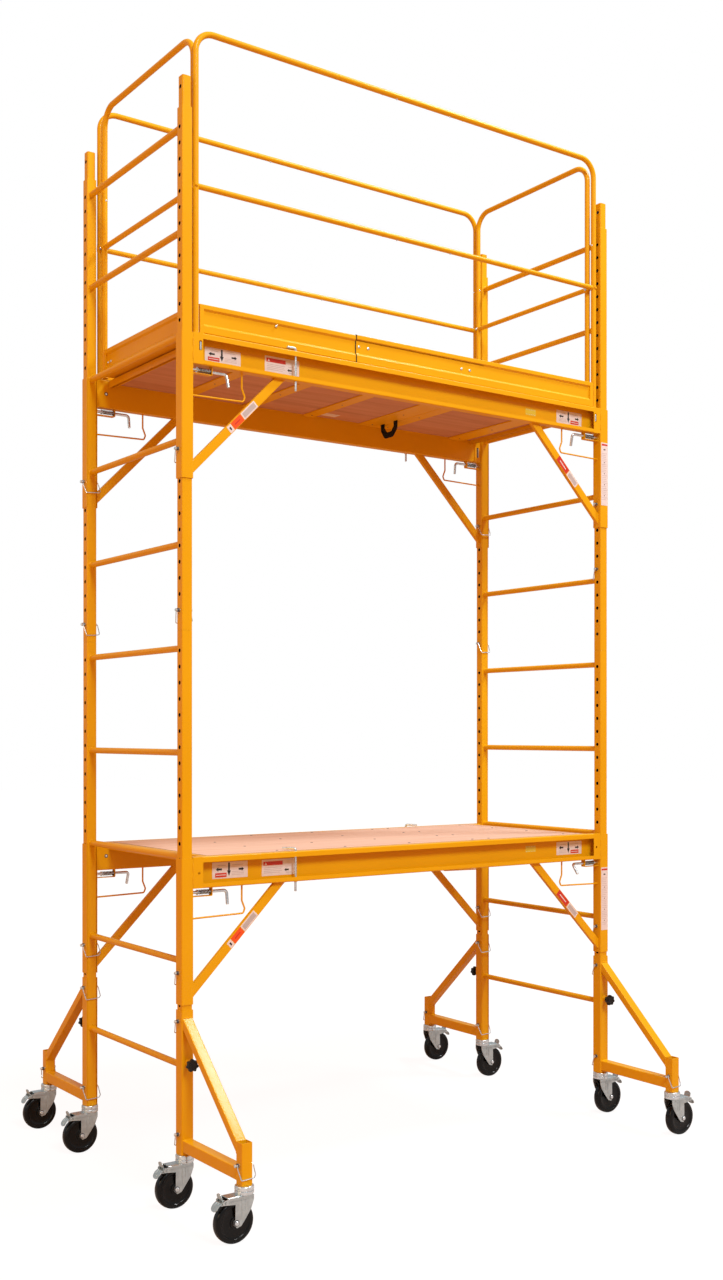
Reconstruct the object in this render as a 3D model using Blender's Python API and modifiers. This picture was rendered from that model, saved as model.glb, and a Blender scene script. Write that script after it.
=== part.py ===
"""Baker scaffold, two sections high.

Four welded ladder frames carry two height-adjustable platforms. Each platform is a pair of side
rails, whose sleeves slide on the square posts, with a plywood deck on a steel frame between them.
Four outriggers widen the base, eight braked casters carry it, and guardrails and toe boards ring
the upper deck.

Metres, +Z up, +X along the platforms. The origin is on the floor, below the middle of the tower.
"""

import math

import bmesh
import bpy
from mathutils import Matrix, Vector

# Driving dimensions
HALF_L = 0.918  # tower centre to post axis, along X
HALF_W = 0.3564  # tower centre to post axis, along Y
CASTER_H = 0.165  # floor to the foot of a post
SECTION_H = 1.651  # one ladder frame's posts
GAP = 0.0003  # between pieces that touch
PLATFORM_Z = (1.100, 2.760)  # tops of the lower and upper side rails

# Ladder frame
POST = 0.036
POST_BORE = 0.032
STUB = 0.0305  # coupling tube that plugs into the next post up
STUB_BORE = 0.0265
STUB_RISE = 0.098
STUB_ROOT = 0.050
RUNG_R = 0.0105
RUNG_BORE_R = 0.0088
RUNG_PITCH = 0.3302
TOP_RUNG_DROP = 0.0552
RUNGS = 5

# Side rail: a lipped channel between two sleeves that are open on the side of the rungs
SLEEVE = 0.0415
SLEEVE_WALL = 0.002
SLEEVE_TOP = -0.003  # measured from the rail's top, as are the heights below
SLEEVE_BOTTOM = -0.464
RAIL_H = 0.100
RAIL_BACK = 0.3447  # tower centre to the back of the web
RAIL_FACE = HALF_W + SLEEVE / 2 - 0.0005
RAIL_WALL = 0.0025
TOP_LIP = 0.018
BOTTOM_LIP = 0.015
END_PLATE_W = 0.036
BRACE_W = 0.029
BRACE_T = 0.015
BRACE_REACH = 0.332  # along X and down from the sleeve, so the brace runs at 45 degrees
WIRE_R = 0.003
PIN_R = 0.005
PIN_HOLE_R = 0.0060
PIN_DROP = 0.1135  # rail top to the lock pin's axis
PIN_NOSE = HALF_L - POST / 2 - GAP
LOCK_REACH = 0.1332  # lock pin's nose to its handle
LOCK_DROP = 0.046
LOCK_BEND = 0.009
LOCK_COLLAR = 0.025
LOCK_COLLAR_T = 0.003
LOCK_COLLAR_R = 0.0085
LOCK_LEANS = {  # how each handle hangs, in degrees about X towards -Y
    "lower_front_left": 8,
    "lower_front_right": 38,
    "lower_rear_left": -20,
    "lower_rear_right": 10,
    "upper_front_left": 17,
    "upper_front_right": -12,
    "upper_rear_left": 8,
    "upper_rear_right": -6,
}
BRACKET_END = 0.8230
BRACKET_H = 0.0275
BRACKET_T = 0.0022
BRACKET_HALF_W = 0.010
HAND_LOOP = ((0.7095, 0.0510), (0.6985, 0.0775), (0.7045, 0.0925))  # |X|, drop below the rail
HAND_LOOP_END = 0.0965
HAND_LOOP_BEND = 0.006

# Deck
DECK_HALF_L = 0.850
DECK_HALF_W = 0.3440
PLY_T = 0.012
CROSS_BARS = (  # flat bars under the plywood: X from, X to, thickness
    (-0.575, -0.524, 0.005),
    (-0.298, -0.247, 0.005),
    (-0.020, 0.031, 0.005),
    (0.250, 0.349, 0.0038),
    (0.348, 0.405, 0.005),
    (0.715, 0.797, 0.005),
)
END_BAR_W = 0.018
END_BAR_H = 0.026
END_BAR_WALL = 0.0025
EDGING_T = 0.0022
EDGING_H = 0.016

# Outrigger
OUTRIGGER_H = 0.454
OUTRIGGER_REACH = 0.369  # post axis to outer tube axis
OUTER_TUBE_H = 0.125
ARM_Z = (0.010, 0.048)
STRUT_TOP = 0.431
STRUT_T = 0.026
KNOB_Z = 0.287
KNOB_R = 0.0205
KNOB_LOBES = 7
STUD_R = 0.004
STUD_HOLE_R = 0.0048

# Caster
WHEEL_R = 0.0635
WHEEL_W = 0.032
TRAIL = 0.038
AXLE_R = 0.006
BORE_R = 0.0068
STEM_R = 0.0135
STEM_H = 0.080
CUP_R = 0.029
CUP_CHAMFER = 0.003
AXLE_HEAD = 0.004
FORK_T = 0.003
FORK_IN = 0.0185  # caster centre plane to a fork leg's inner face
CROWN_Z = 0.141
CROWN_T = 0.004
CROWN_X = (-0.064, 0.0195)
FORK_LEG = (  # X, Z
    (-0.0835, 0.1225),
    (-0.0835, 0.1330),
    (-0.0660, 0.1415),
    (0.0215, 0.1415),
    (0.0205, 0.1230),
    (0.0110, 0.0975),
    (-0.0120, 0.0660),
    (-0.0225, 0.0530),
    (-0.0390, 0.0490),
    (-0.0475, 0.0550),
    (-0.0470, 0.1180),
    (-0.0660, 0.1205),
)
PEDAL_X = -0.074  # swivel axis to the brake pedal's pivot
PEDAL_Z = 0.128
TRUNNION_R = 0.003
TRUNNION_HOLE_R = 0.0037
TRUNNION_HEAD = 0.001
PEDAL_SIDE_GAP = 0.0015
PEDAL = (  # X, Z from the pivot
    (0.006, 0.004),
    (-0.002, 0.012),
    (-0.006, 0.024),
    (-0.014, 0.026),
    (-0.012, 0.010),
    (-0.014, 0.000),
    (-0.024, -0.008),
    (-0.034, -0.021),
    (-0.029, -0.026),
    (-0.020, -0.014),
    (-0.008, -0.008),
    (0.006, -0.004),
)

# Guard cage
GUARD_R = 0.010
GUARD_BORE_R = 0.0085
MID_R = 0.0078
MID_BORE_R = 0.0062
GUARD_BEND = 0.066
LONG_TOP = 0.965  # rail top to the top bar's axis
SHORT_TOP = 0.960
MID_Z = 0.470
LONG_LEG_X = 0.879
SHORT_LEG_X = 0.872
SHORT_LEG_Y = 0.3300
TOE_H = 0.098
TOE_T = 0.0015
TOE_LIP = 0.014
TOE_LOW = 0.003
TOE_STEP = 0.006  # how far the middle of a board is set back
TOE_RIDGE = 0.028
TOE_END_FOOT = 0.034  # an end board's lower lip, which reaches over the deck's end
TOE_FACE = 0.3660
TOE_HALF_L = 0.8615
TOE_HALF_W = 0.3170
TOE_END_X = 0.8820


# Scene and object helpers


def clear_scene():
    for obj in list(bpy.data.objects):
        bpy.data.objects.remove(obj, do_unlink=True)


def new_collection(name):
    collection = bpy.data.collections.new(name)
    bpy.context.scene.collection.children.link(collection)
    return collection


def new_material(name, colour, roughness, metallic):
    material = bpy.data.materials.new(name)
    material.use_nodes = True
    shader = material.node_tree.nodes["Principled BSDF"]
    shader.inputs["Base Color"].default_value = (*colour, 1.0)
    shader.inputs["Roughness"].default_value = roughness
    shader.inputs["Metallic"].default_value = metallic
    material.diffuse_color = (*colour, 1.0)
    return material


def tool_object(name, mesh):
    """An object that shapes others and isn't part of the scaffold."""
    obj = bpy.data.objects.new(name, mesh)
    obj.hide_render = True
    obj.display_type = "WIRE"
    CUTTERS.objects.link(obj)
    return obj


def bmesh_object(name, bm):
    bm.normal_update()
    bmesh.ops.recalc_face_normals(bm, faces=bm.faces)
    mesh = bpy.data.meshes.new(name)
    bm.to_mesh(mesh)
    bm.free()
    return tool_object(name, mesh)


def evaluated_mesh(obj):
    graph = bpy.context.evaluated_depsgraph_get()
    return bpy.data.meshes.new_from_object(obj.evaluated_get(graph))


def box(low, high):
    bm = bmesh.new()
    bmesh.ops.create_cube(bm, size=1.0)
    low, high = Vector(low), Vector(high)
    for vert in bm.verts:
        vert.co = (low + high) / 2 + Vector(a * b for a, b in zip(vert.co, high - low))
    return bmesh_object("box", bm)


def cylinder(start, end, radius, sides=8):
    start, end = Vector(start), Vector(end)
    bm = bmesh.new()
    bmesh.ops.create_cone(
        bm,
        cap_ends=True,
        segments=sides,
        radius1=radius,
        radius2=radius,
        depth=(end - start).length,
    )
    turn = (end - start).to_track_quat("Z", "Y").to_matrix().to_4x4()
    bm.transform(Matrix.Translation((start + end) / 2) @ turn)
    return bmesh_object("cylinder", bm)


def plate(outline, low, high, axis):
    """A flat outline given a thickness from low to high along axis X, Y or Z.

    The outline's points are in the other two axes, in X, Y, Z order.
    """
    curve = bpy.data.curves.new("plate", "CURVE")
    curve.dimensions = "2D"
    curve.fill_mode = "BOTH"
    curve.extrude = (high - low) / 2
    spline = curve.splines.new("POLY")
    spline.points.add(len(outline) - 1)
    for point, (a, b) in zip(spline.points, outline):
        point.co = (a, b, 0.0, 1.0)
    spline.use_cyclic_u = True
    middle = (low + high) / 2
    basis = {
        "X": Matrix(((0, 0, 1, middle), (1, 0, 0, 0), (0, 1, 0, 0), (0, 0, 0, 1))),
        "Y": Matrix(((1, 0, 0, 0), (0, 0, 1, middle), (0, 1, 0, 0), (0, 0, 0, 1))),
        "Z": Matrix.Translation((0, 0, middle)),
    }[axis]
    return curve_solid(curve, basis)


def curve_solid(curve, matrix=Matrix.Identity(4)):
    """A curve object as a closed mesh object, with its caps welded to its sides."""
    guide = tool_object("guide", curve)
    bpy.context.view_layer.update()
    mesh = evaluated_mesh(guide)
    bpy.data.objects.remove(guide, do_unlink=True)
    bm = bmesh.new()
    bm.from_mesh(mesh)
    bmesh.ops.remove_doubles(bm, verts=bm.verts, dist=1e-6)
    bm.transform(matrix)
    return bmesh_object("curve_solid", bm)


def rod(points, radius, resolution=1):
    """A round bar along a polyline, with 4 + 2 x resolution sides."""
    curve = bpy.data.curves.new("rod", "CURVE")
    curve.dimensions = "3D"
    curve.bevel_depth = radius
    curve.bevel_resolution = resolution
    curve.use_fill_caps = True
    spline = curve.splines.new("POLY")
    spline.points.add(len(points) - 1)
    for point, co in zip(spline.points, points):
        point.co = (*co, 1.0)
    return curve_solid(curve)


def bent(corners, radius, steps=4):
    """The corner points with an arc of the radius in place of each inner corner."""
    corners = [Vector(corner) for corner in corners]
    path = [corners[0]]
    for before, corner, after in zip(corners, corners[1:], corners[2:]):
        back, forth = (before - corner).normalized(), (after - corner).normalized()
        half = back.angle(forth) / 2
        centre = corner + (back + forth).normalized() * radius / math.sin(half)
        start = corner + back * radius / math.tan(half) - centre
        turn = Matrix.Rotation(
            (math.pi - 2 * half) / steps, 3, start.cross(corner - centre)
        )
        for step in range(steps + 1):
            path.append(centre + start)
            start = turn @ start
    return path + [corners[-1]]


def turned(profile, segments):
    """A profile of (radius, height) points turned about Z. It is a ring unless it starts at Z."""
    bm = bmesh.new()
    verts = [bm.verts.new((r, 0, z)) for r, z in profile]
    ring = profile[0][0] > 0
    for a, b in zip(verts, verts[1:] + verts[:1] * ring):
        bm.edges.new((a, b))
    mesh = bpy.data.meshes.new("turned")
    bm.to_mesh(mesh)
    bm.free()
    obj = tool_object("turned", mesh)
    screw = obj.modifiers.new("turn", "SCREW")
    screw.steps = screw.render_steps = segments
    screw.use_merge_vertices = True
    screw.merge_threshold = 1e-5
    settled(obj)
    bm = bmesh.new()
    bm.from_mesh(obj.data)
    bpy.data.objects.remove(obj, do_unlink=True)
    return bmesh_object("turned", bm)


def settled(obj):
    """The object with its modifiers' result as its mesh."""
    bpy.context.view_layer.update()
    obj.data = evaluated_mesh(obj)
    obj.modifiers.clear()
    return obj


def combined(objects, operation):
    """The first object united with the others, or with them cut from it, as one mesh object."""
    body = objects[0]
    for other in objects[1:]:
        boolean = body.modifiers.new(operation.lower(), "BOOLEAN")
        boolean.operation = operation
        boolean.solver = "EXACT"
        boolean.object = other
    settled(body)
    for other in objects[1:]:
        bpy.data.objects.remove(other, do_unlink=True)
    return body


def weldment(solids, bores=()):
    """One mesh of the solids united, with the bores cut out of them."""
    body = combined(list(solids), "UNION")
    if bores:
        body = combined([body, *bores], "DIFFERENCE")
    mesh = body.data
    bpy.data.objects.remove(body, do_unlink=True)
    return mesh


def empty(name, location, parent=None):
    obj = bpy.data.objects.new(name, None)
    obj.location = location
    obj.parent = parent
    PARTS.objects.link(obj)
    return obj


def place(name, mesh, material, location, turn=0.0, parent=None, smooth=False, lean=0.0):
    """A named node of the scaffold, turned about Z, that may share its mesh with others. The lean
    is in degrees about +X."""
    obj = bpy.data.objects.new(name, mesh)
    obj.location = location
    obj.rotation_euler = (math.radians(lean), 0, turn)
    obj.parent = parent
    if not mesh.materials:
        mesh.materials.append(material)
    if smooth:
        mesh.shade_smooth()
        mesh.set_sharp_from_angle(angle=math.radians(35))
    PARTS.objects.link(obj)
    return obj


# Meshes, each in its own frame


def frame_mesh():
    """A ladder frame in the plane X = 0, its posts standing on Z = 0."""
    top = SECTION_H + STUB_RISE
    solids, bores = [], []
    for y in (-HALF_W, HALF_W):
        solids.append(square_tube(y, POST, 0.0, SECTION_H))
        solids.append(square_tube(y, STUB, SECTION_H - STUB_ROOT - 0.01, top))
        bores.append(square_tube(y, POST_BORE, -0.01, SECTION_H - STUB_ROOT))
        bores.append(square_tube(y, STUB_BORE, SECTION_H - STUB_ROOT - 0.01, top + 0.01))
    for z in rung_heights():
        ends = (0, -HALF_W, z), (0, HALF_W, z)
        solids.append(cylinder(*ends, RUNG_R, 8))
        bores.append(cylinder(*ends, RUNG_BORE_R, 8))
    return weldment(solids, bores)


def square_tube(y, width, bottom, top):
    half = width / 2
    return box((-half, y - half, bottom), (half, y + half, top))


def rung_heights():
    top = SECTION_H - TOP_RUNG_DROP
    return [top - RUNG_PITCH * i for i in range(RUNGS)]


def sleeve(x, y, bottom, top):
    """A sleeve round a post at (x, y), open on the side of the tower's middle (+Y)."""
    out, inner = SLEEVE / 2, SLEEVE / 2 - SLEEVE_WALL
    back = y + POST / 2 + 0.001
    outline = [
        (x - out, back),
        (x - out, y - out),
        (x + out, y - out),
        (x + out, back),
        (x + inner, back),
        (x + inner, y - inner),
        (x - inner, y - inner),
        (x - inner, back),
    ]
    return plate(outline, bottom, top, "Z")


def rail_mesh():
    """The front side rail: channel, sleeves, knee braces, hand loops and lock pin brackets."""
    bottom = -RAIL_H
    outer, back, wall = -RAIL_FACE, -RAIL_BACK, RAIL_WALL
    channel = [
        (outer, -TOP_LIP),
        (outer, 0.0),
        (back, 0.0),
        (back, bottom),
        (outer, bottom),
        (outer, bottom + BOTTOM_LIP),
        (outer + wall, bottom + BOTTOM_LIP),
        (outer + wall, bottom + wall),
        (back - wall, bottom + wall),
        (back - wall, -wall),
        (outer + wall, -wall),
        (outer + wall, -TOP_LIP),
    ]
    inside = HALF_L - SLEEVE / 2 + 0.001  # just into the sleeve's wall
    solids = [plate(channel, -inside, inside, "X")]
    holes = []
    for side in (-1, 1):
        solids.append(sleeve(side * HALF_L, -HALF_W, SLEEVE_BOTTOM, SLEEVE_TOP))
        solids += rail_end(side, inside)
        low, high = sorted((side * (BRACKET_END - 0.01), side * HALF_L))
        holes.append(
            cylinder((low, -HALF_W, -PIN_DROP), (high, -HALF_W, -PIN_DROP), PIN_HOLE_R)
        )
    return weldment(solids, holes)


def rail_end(side, inside):
    """What is welded to one end of the side rail, between the channel and the sleeve."""
    bottom = -RAIL_H
    into = RAIL_WALL * 0.6  # how far welded pieces run into the channel's wall
    y = -HALF_W

    def span(near, far):
        return sorted((side * near, side * far))

    x0, x1 = span(inside - END_PLATE_W, inside)
    end_plate = box(
        (x0, -RAIL_FACE - 0.0002, bottom + into), (x1, -RAIL_FACE + RAIL_WALL, -into)
    )
    foot = inside - BRACE_REACH
    half = BRACE_W / math.sqrt(2)
    top = bottom + into
    brace = plate(
        [
            (side * (foot - half), top),
            (side * inside, top - (inside - foot + half)),
            (side * inside, top - (inside - foot - half)),
            (side * (foot + half), top),
        ],
        y - BRACE_T / 2,
        y + BRACE_T / 2,
        "Y",
    )
    loop = rod(
        bent(
            [
                (side * HAND_LOOP[0][0], y, top),
                *((side * x, y, bottom - drop) for x, drop in HAND_LOOP),
                (side * inside, y, bottom - HAND_LOOP_END),
            ],
            HAND_LOOP_BEND,
            steps=2,
        ),
        WIRE_R,
    )
    strip, half = BRACKET_T, BRACKET_HALF_W
    low = bottom - BRACKET_H
    x0, x1 = span(BRACKET_END, inside)
    bracket_floor = box((x0, y - half, low), (x1, y + half, low + strip))
    half -= 0.0001
    x0, x1 = span(BRACKET_END, BRACKET_END + strip)
    bracket_end = box((x0, y - half, low + strip / 2), (x1, y + half, top))
    return [end_plate, brace, loop, bracket_floor, bracket_end]


def deck_mesh():
    half_l = DECK_HALF_L - END_BAR_W - GAP
    half_w = DECK_HALF_W - EDGING_T - GAP
    return weldment([box((-half_l, -half_w, -PLY_T), (half_l, half_w, 0.0005))])


def deck_frame_mesh():
    """Flat bars across the deck and a channel at each end, tied by an edging along each side."""
    half_l, half_w = DECK_HALF_L, DECK_HALF_W
    reach = half_w - 0.0005  # just into the edging
    solids = []
    for side in (-1, 1):
        y0, y1 = sorted((side * (half_w - EDGING_T), side * half_w))
        ends = half_l - 0.0008
        solids.append(box((-ends, y0, -EDGING_H), (ends, y1, -0.0005)))
        outer, inner = side * half_l, side * (half_l - END_BAR_W)
        wall = side * END_BAR_WALL
        outline = [
            (outer, 0.0),
            (outer, -END_BAR_H),
            (outer - wall, -END_BAR_H),
            (outer - wall, -END_BAR_WALL),
            (inner + wall, -END_BAR_WALL),
            (inner + wall, -END_BAR_H),
            (inner, -END_BAR_H),
            (inner, 0.0),
        ]
        solids.append(plate(outline, -reach, reach, "Y"))
    top = -PLY_T - GAP
    for x0, x1, thick in CROSS_BARS:
        solids.append(box((x0, -reach, top - thick), (x1, reach, top)))
    return weldment(solids)


def outrigger_mesh():
    """An outrigger that widens the base towards -Y, with its post's foot at the origin."""
    out = SLEEVE / 2
    half = POST / 2
    tube = -OUTRIGGER_REACH
    solids = [
        sleeve(0.0, 0.0, 0.0, OUTRIGGER_H),
        square_tube(tube, POST, 0.0, OUTER_TUBE_H),
        box((-half, tube, ARM_Z[0]), (half, -out + 0.001, ARM_Z[1])),
        strut(),
        cylinder((0, -out + 0.001, KNOB_Z), (0, -out - 0.008, KNOB_Z), 0.0095, 6),
    ]
    bores = [
        square_tube(tube, POST_BORE, -0.01, OUTER_TUBE_H + 0.01),
        cylinder((0, -out - 0.02, KNOB_Z), (0, 0, KNOB_Z), STUD_HOLE_R),
    ]
    return weldment(solids, bores)


def strut():
    """The sloping tube from the top of the outrigger's sleeve to the top of its outer tube."""
    near = -SLEEVE / 2 + 0.001
    far = -OUTRIGGER_REACH + POST / 2 - 0.001
    low = OUTER_TUBE_H - 0.001
    drop = STRUT_T * math.hypot(near - far, STRUT_TOP - low) / (near - far)
    outline = [(near, STRUT_TOP), (far, low), (far, low - drop), (near, STRUT_TOP - drop)]
    return plate(outline, -POST / 2 + 0.0005, POST / 2 - 0.0005, "X")


def knob_mesh():
    """A lobed knob on a threaded stud. The axis is Y, and the stud ends at the post's face."""
    face = -POST / 2 - GAP
    outline = []
    points = KNOB_LOBES * 4
    for i in range(points):
        angle = 2 * math.pi * i / points
        radius = KNOB_R - 0.0022 + 0.0022 * math.cos(KNOB_LOBES * angle)
        outline.append((radius * math.sin(angle), radius * math.cos(angle)))
    return weldment(
        [
            plate(outline, -0.060, -0.042, "Y"),
            cylinder((0, -0.043, 0), (0, -0.031, 0), 0.009),
            cylinder((0, -0.032, 0), (0, face, 0), STUD_R),
        ]
    )


def fork_mesh():
    """A caster's stem, swivel cup, fork and axle. The swivel axis is Z, with Z = 0 at the floor."""
    into = 0.001  # how far the pieces run into one another
    low = (CROWN_X[0], -FORK_IN - into, CROWN_Z - CROWN_T)
    crown = box(low, (CROWN_X[1], FORK_IN + into, CROWN_Z))
    cup = [
        (0.0, CROWN_Z - into),
        (CUP_R, CROWN_Z - into),
        (CUP_R, CASTER_H - CUP_CHAMFER),
        (CUP_R - CUP_CHAMFER, CASTER_H - GAP),
        (0.0, CASTER_H - GAP),
    ]
    solids = [crown, turned(cup, 12)]
    solids.append(cylinder((0, 0, CROWN_Z), (0, 0, CASTER_H + STEM_H), STEM_R))
    trunnion_holes = []
    for side in (-1, 1):
        low, high = sorted((side * FORK_IN, side * (FORK_IN + FORK_T)))
        solids.append(plate(FORK_LEG, low, high, "Y"))
        start, end = (PEDAL_X, low - FORK_T, PEDAL_Z), (PEDAL_X, high + FORK_T, PEDAL_Z)
        trunnion_holes.append(cylinder(start, end, TRUNNION_HOLE_R))
    reach = FORK_IN + FORK_T + AXLE_HEAD
    solids.append(cylinder((-TRAIL, -reach, WHEEL_R), (-TRAIL, reach, WHEEL_R), AXLE_R))
    return weldment(solids, trunnion_holes)


def wheel_mesh():
    """A solid wheel about the Y axis, with a corner of its tread at the bottom."""
    half = WHEEL_W / 2
    side = [
        (BORE_R, half + 0.001),
        (0.020, half + 0.001),
        (0.048, half - 0.003),
        (0.058, half),
        (WHEEL_R, half - 0.005),
    ]
    profile = side + [(r, -z) for r, z in reversed(side)]
    wheel = turned(profile, 16)
    wheel.data.transform(Matrix.Rotation(math.radians(90), 4, "X"))
    return weldment([wheel])


def pedal_mesh():
    """A total-lock brake pedal: the lower tab locks, the upper one frees. It pivots about Y."""
    half = FORK_IN - PEDAL_SIDE_GAP
    reach = FORK_IN + FORK_T + TRUNNION_HEAD
    return weldment(
        [
            plate(PEDAL, -half, half, "Y"),
            cylinder((0, -reach, 0), (0, reach, 0), TRUNNION_R),
        ]
    )


def guardrail_mesh(half_width, bend, top, rail_y):
    """A bent tube with two legs and a middle rail, in a plane of constant Y, open at its feet."""
    feet = GAP
    path = bent(
        [
            (-half_width, rail_y, feet),
            (-half_width, rail_y, top),
            (half_width, rail_y, top),
            (half_width, rail_y, feet),
        ],
        bend,
        steps=4,
    )
    bore = [path[0] - Vector((0, 0, 0.01)), *path[1:-1], path[-1] - Vector((0, 0, 0.01))]
    ends = (-half_width, rail_y, MID_Z), (half_width, rail_y, MID_Z)
    return weldment(
        [rod(path, GUARD_R, 2), cylinder(*ends, MID_R)],
        [rod(bore, GUARD_BORE_R, 2), cylinder(*ends, MID_BORE_R)],
    )


def toe_board_mesh(half_length, face, foot=TOE_LIP):
    """A board of folded sheet, facing -Y, with a lip at its top and bottom and a ridge between."""
    t, lip, low, step, ridge = TOE_T, TOE_LIP, TOE_LOW, TOE_STEP, TOE_RIDGE
    fold = t * 0.4  # keeps the sloping stretches about as thick as the rest
    outline = [
        (-face, TOE_H - lip),
        (-face, TOE_H),
        (-face + lip, TOE_H),
        (-face + lip, TOE_H - t),
        (-face + t, TOE_H - t),
        (-face + t, TOE_H - lip),
        (-face + step + t, TOE_H - lip - step),
        (-face + step + t, ridge + step),
        (-face + t, ridge),
        (-face + t, low + t),
        (-face + foot, low + t),
        (-face + foot, low),
        (-face, low),
        (-face, ridge + fold),
        (-face + step, ridge + step + fold),
        (-face + step, TOE_H - lip - step + fold),
    ]
    return weldment([plate(outline, -half_length, half_length, "X")])


def lock_pin_mesh():
    """An L-handled spring pin along X, its nose at the origin, with a collar for its spring."""
    corners = [(0, 0, 0), (LOCK_REACH, 0, 0), (LOCK_REACH, 0, -LOCK_DROP)]
    handle = rod(bent(corners, LOCK_BEND, steps=2), PIN_R)
    start, end = LOCK_COLLAR - LOCK_COLLAR_T / 2, LOCK_COLLAR + LOCK_COLLAR_T / 2
    return weldment([handle, cylinder((start, 0, 0), (end, 0, 0), LOCK_COLLAR_R)])


# Assembly

HALF_TURN = math.pi
ENDS = (("left", -1), ("right", 1))
SIDES = (("front", -1), ("rear", 1))


def build_frames(parent):
    mesh = frame_mesh()
    base = CASTER_H
    for level in ("lower", "upper"):
        for end, x in ENDS:
            place(f"frame_{level}_{end}", mesh, ORANGE, (x * HALF_L, 0, base), parent=parent)
        base += SECTION_H + GAP


def build_platform(level, z):
    """Side rails, deck and lock pins of one platform, on an empty at its rails' top."""
    carrier = empty(f"platform_{level}", (0, 0, z))
    for side, y in SIDES:
        turn = 0.0 if y < 0 else HALF_TURN
        place(f"side_rail_{level}_{side}", MESHES["rail"], ORANGE, (0, 0, 0), turn, carrier)
        for end, x in ENDS:
            place(
                f"lock_pin_{level}_{side}_{end}",
                MESHES["lock_pin"],
                ZINC,
                (x * PIN_NOSE, y * HALF_W, -PIN_DROP),
                0.0 if x < 0 else HALF_TURN,
                carrier,
                smooth=True,
                lean=x * LOCK_LEANS[f"{level}_{side}_{end}"],
            )
    place(f"deck_{level}", MESHES["deck"], PLYWOOD, (0, 0, 0), 0.0, carrier)
    place(f"deck_frame_{level}", MESHES["deck_frame"], ORANGE, (0, 0, 0), 0.0, carrier)
    return carrier


def build_guard_cage(carrier):
    long_rail = guardrail_mesh(LONG_LEG_X, GUARD_BEND, LONG_TOP, 0.0)
    short_rail = guardrail_mesh(SHORT_LEG_Y, GUARD_BEND, SHORT_TOP, 0.0)
    long_toe = toe_board_mesh(TOE_HALF_L, TOE_FACE)
    short_toe = toe_board_mesh(TOE_HALF_W, TOE_END_X, TOE_END_FOOT)
    for side, y in SIDES:
        turn = 0.0 if y < 0 else HALF_TURN
        at = (0, y * HALF_W, 0)
        place(f"guardrail_{side}", long_rail, ORANGE, at, turn, carrier, smooth=True)
        place(f"toe_board_{side}", long_toe, ORANGE, (0, 0, 0), turn, carrier)
    for end, x in ENDS:
        turn = x * math.radians(90)
        at = (x * SHORT_LEG_X, 0, 0)
        place(f"guardrail_{end}", short_rail, ORANGE, at, turn, carrier, smooth=True)
        place(f"toe_board_{end}", short_toe, ORANGE, (0, 0, 0), turn, carrier)


def build_base(parent):
    """Outriggers with their knobs, and a caster under each post and each outer tube."""
    outrigger = outrigger_mesh()
    knob = knob_mesh()
    for side, y in SIDES:
        turn = 0.0 if y < 0 else HALF_TURN
        for end, x in ENDS:
            corner = f"{side}_{end}"
            foot = Vector((x * HALF_L, y * HALF_W, CASTER_H))
            place(f"outrigger_{corner}", outrigger, ORANGE, foot, turn, parent)
            at = foot + Vector((0, 0, KNOB_Z))
            place(f"knob_{corner}", knob, BLACK_NYLON, at, turn, parent, smooth=True)
            build_caster(f"{corner}_inner", foot.x, foot.y, x, parent)
            build_caster(f"{corner}_outer", foot.x, foot.y + y * OUTRIGGER_REACH, x, parent)


def build_caster(name, x, y, end, parent):
    """A caster whose wheel trails away from the tower's middle."""
    turn = 0.0 if end < 0 else HALF_TURN
    fork = place(f"caster_fork_{name}", MESHES["fork"], ZINC, (x, y, 0), turn, parent, True)
    place(f"caster_wheel_{name}", MESHES["wheel"], BLACK_RUBBER, (-TRAIL, 0, WHEEL_R), 0.0, fork, True)
    place(f"caster_pedal_{name}", MESHES["pedal"], ZINC, (PEDAL_X, 0, PEDAL_Z), 0.0, fork, True)


clear_scene()
PARTS = new_collection("baker_scaffold")
CUTTERS = new_collection("cutters")
ORANGE = new_material("orange_powder_coat", (0.87, 0.36, 0.015), 0.38, 0.0)
PLYWOOD = new_material("plywood", (0.62, 0.45, 0.32), 0.75, 0.0)
ZINC = new_material("zinc_plate", (0.62, 0.64, 0.64), 0.32, 1.0)
BLACK_NYLON = new_material("black_nylon", (0.012, 0.012, 0.013), 0.45, 0.0)
BLACK_RUBBER = new_material("black_rubber", (0.010, 0.010, 0.011), 0.30, 0.0)
MESHES = {
    "rail": rail_mesh(),
    "deck": deck_mesh(),
    "deck_frame": deck_frame_mesh(),
    "lock_pin": lock_pin_mesh(),
    "fork": fork_mesh(),
    "wheel": wheel_mesh(),
    "pedal": pedal_mesh(),
}

tower = empty("tower", (0, 0, 0))
build_frames(tower)
build_base(tower)
build_platform("lower", PLATFORM_Z[0])
build_guard_cage(build_platform("upper", PLATFORM_Z[1]))
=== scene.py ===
"""The look of the baker scaffold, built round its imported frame.

Metres, +Z up, +X along the platforms, -Y towards the viewer. Meshes are made in the frame of the
sub-part they belong to and placed by its corner of the tower.
"""

import math
from itertools import product

import bmesh
import bpy
from mathutils import Matrix, Vector


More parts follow.
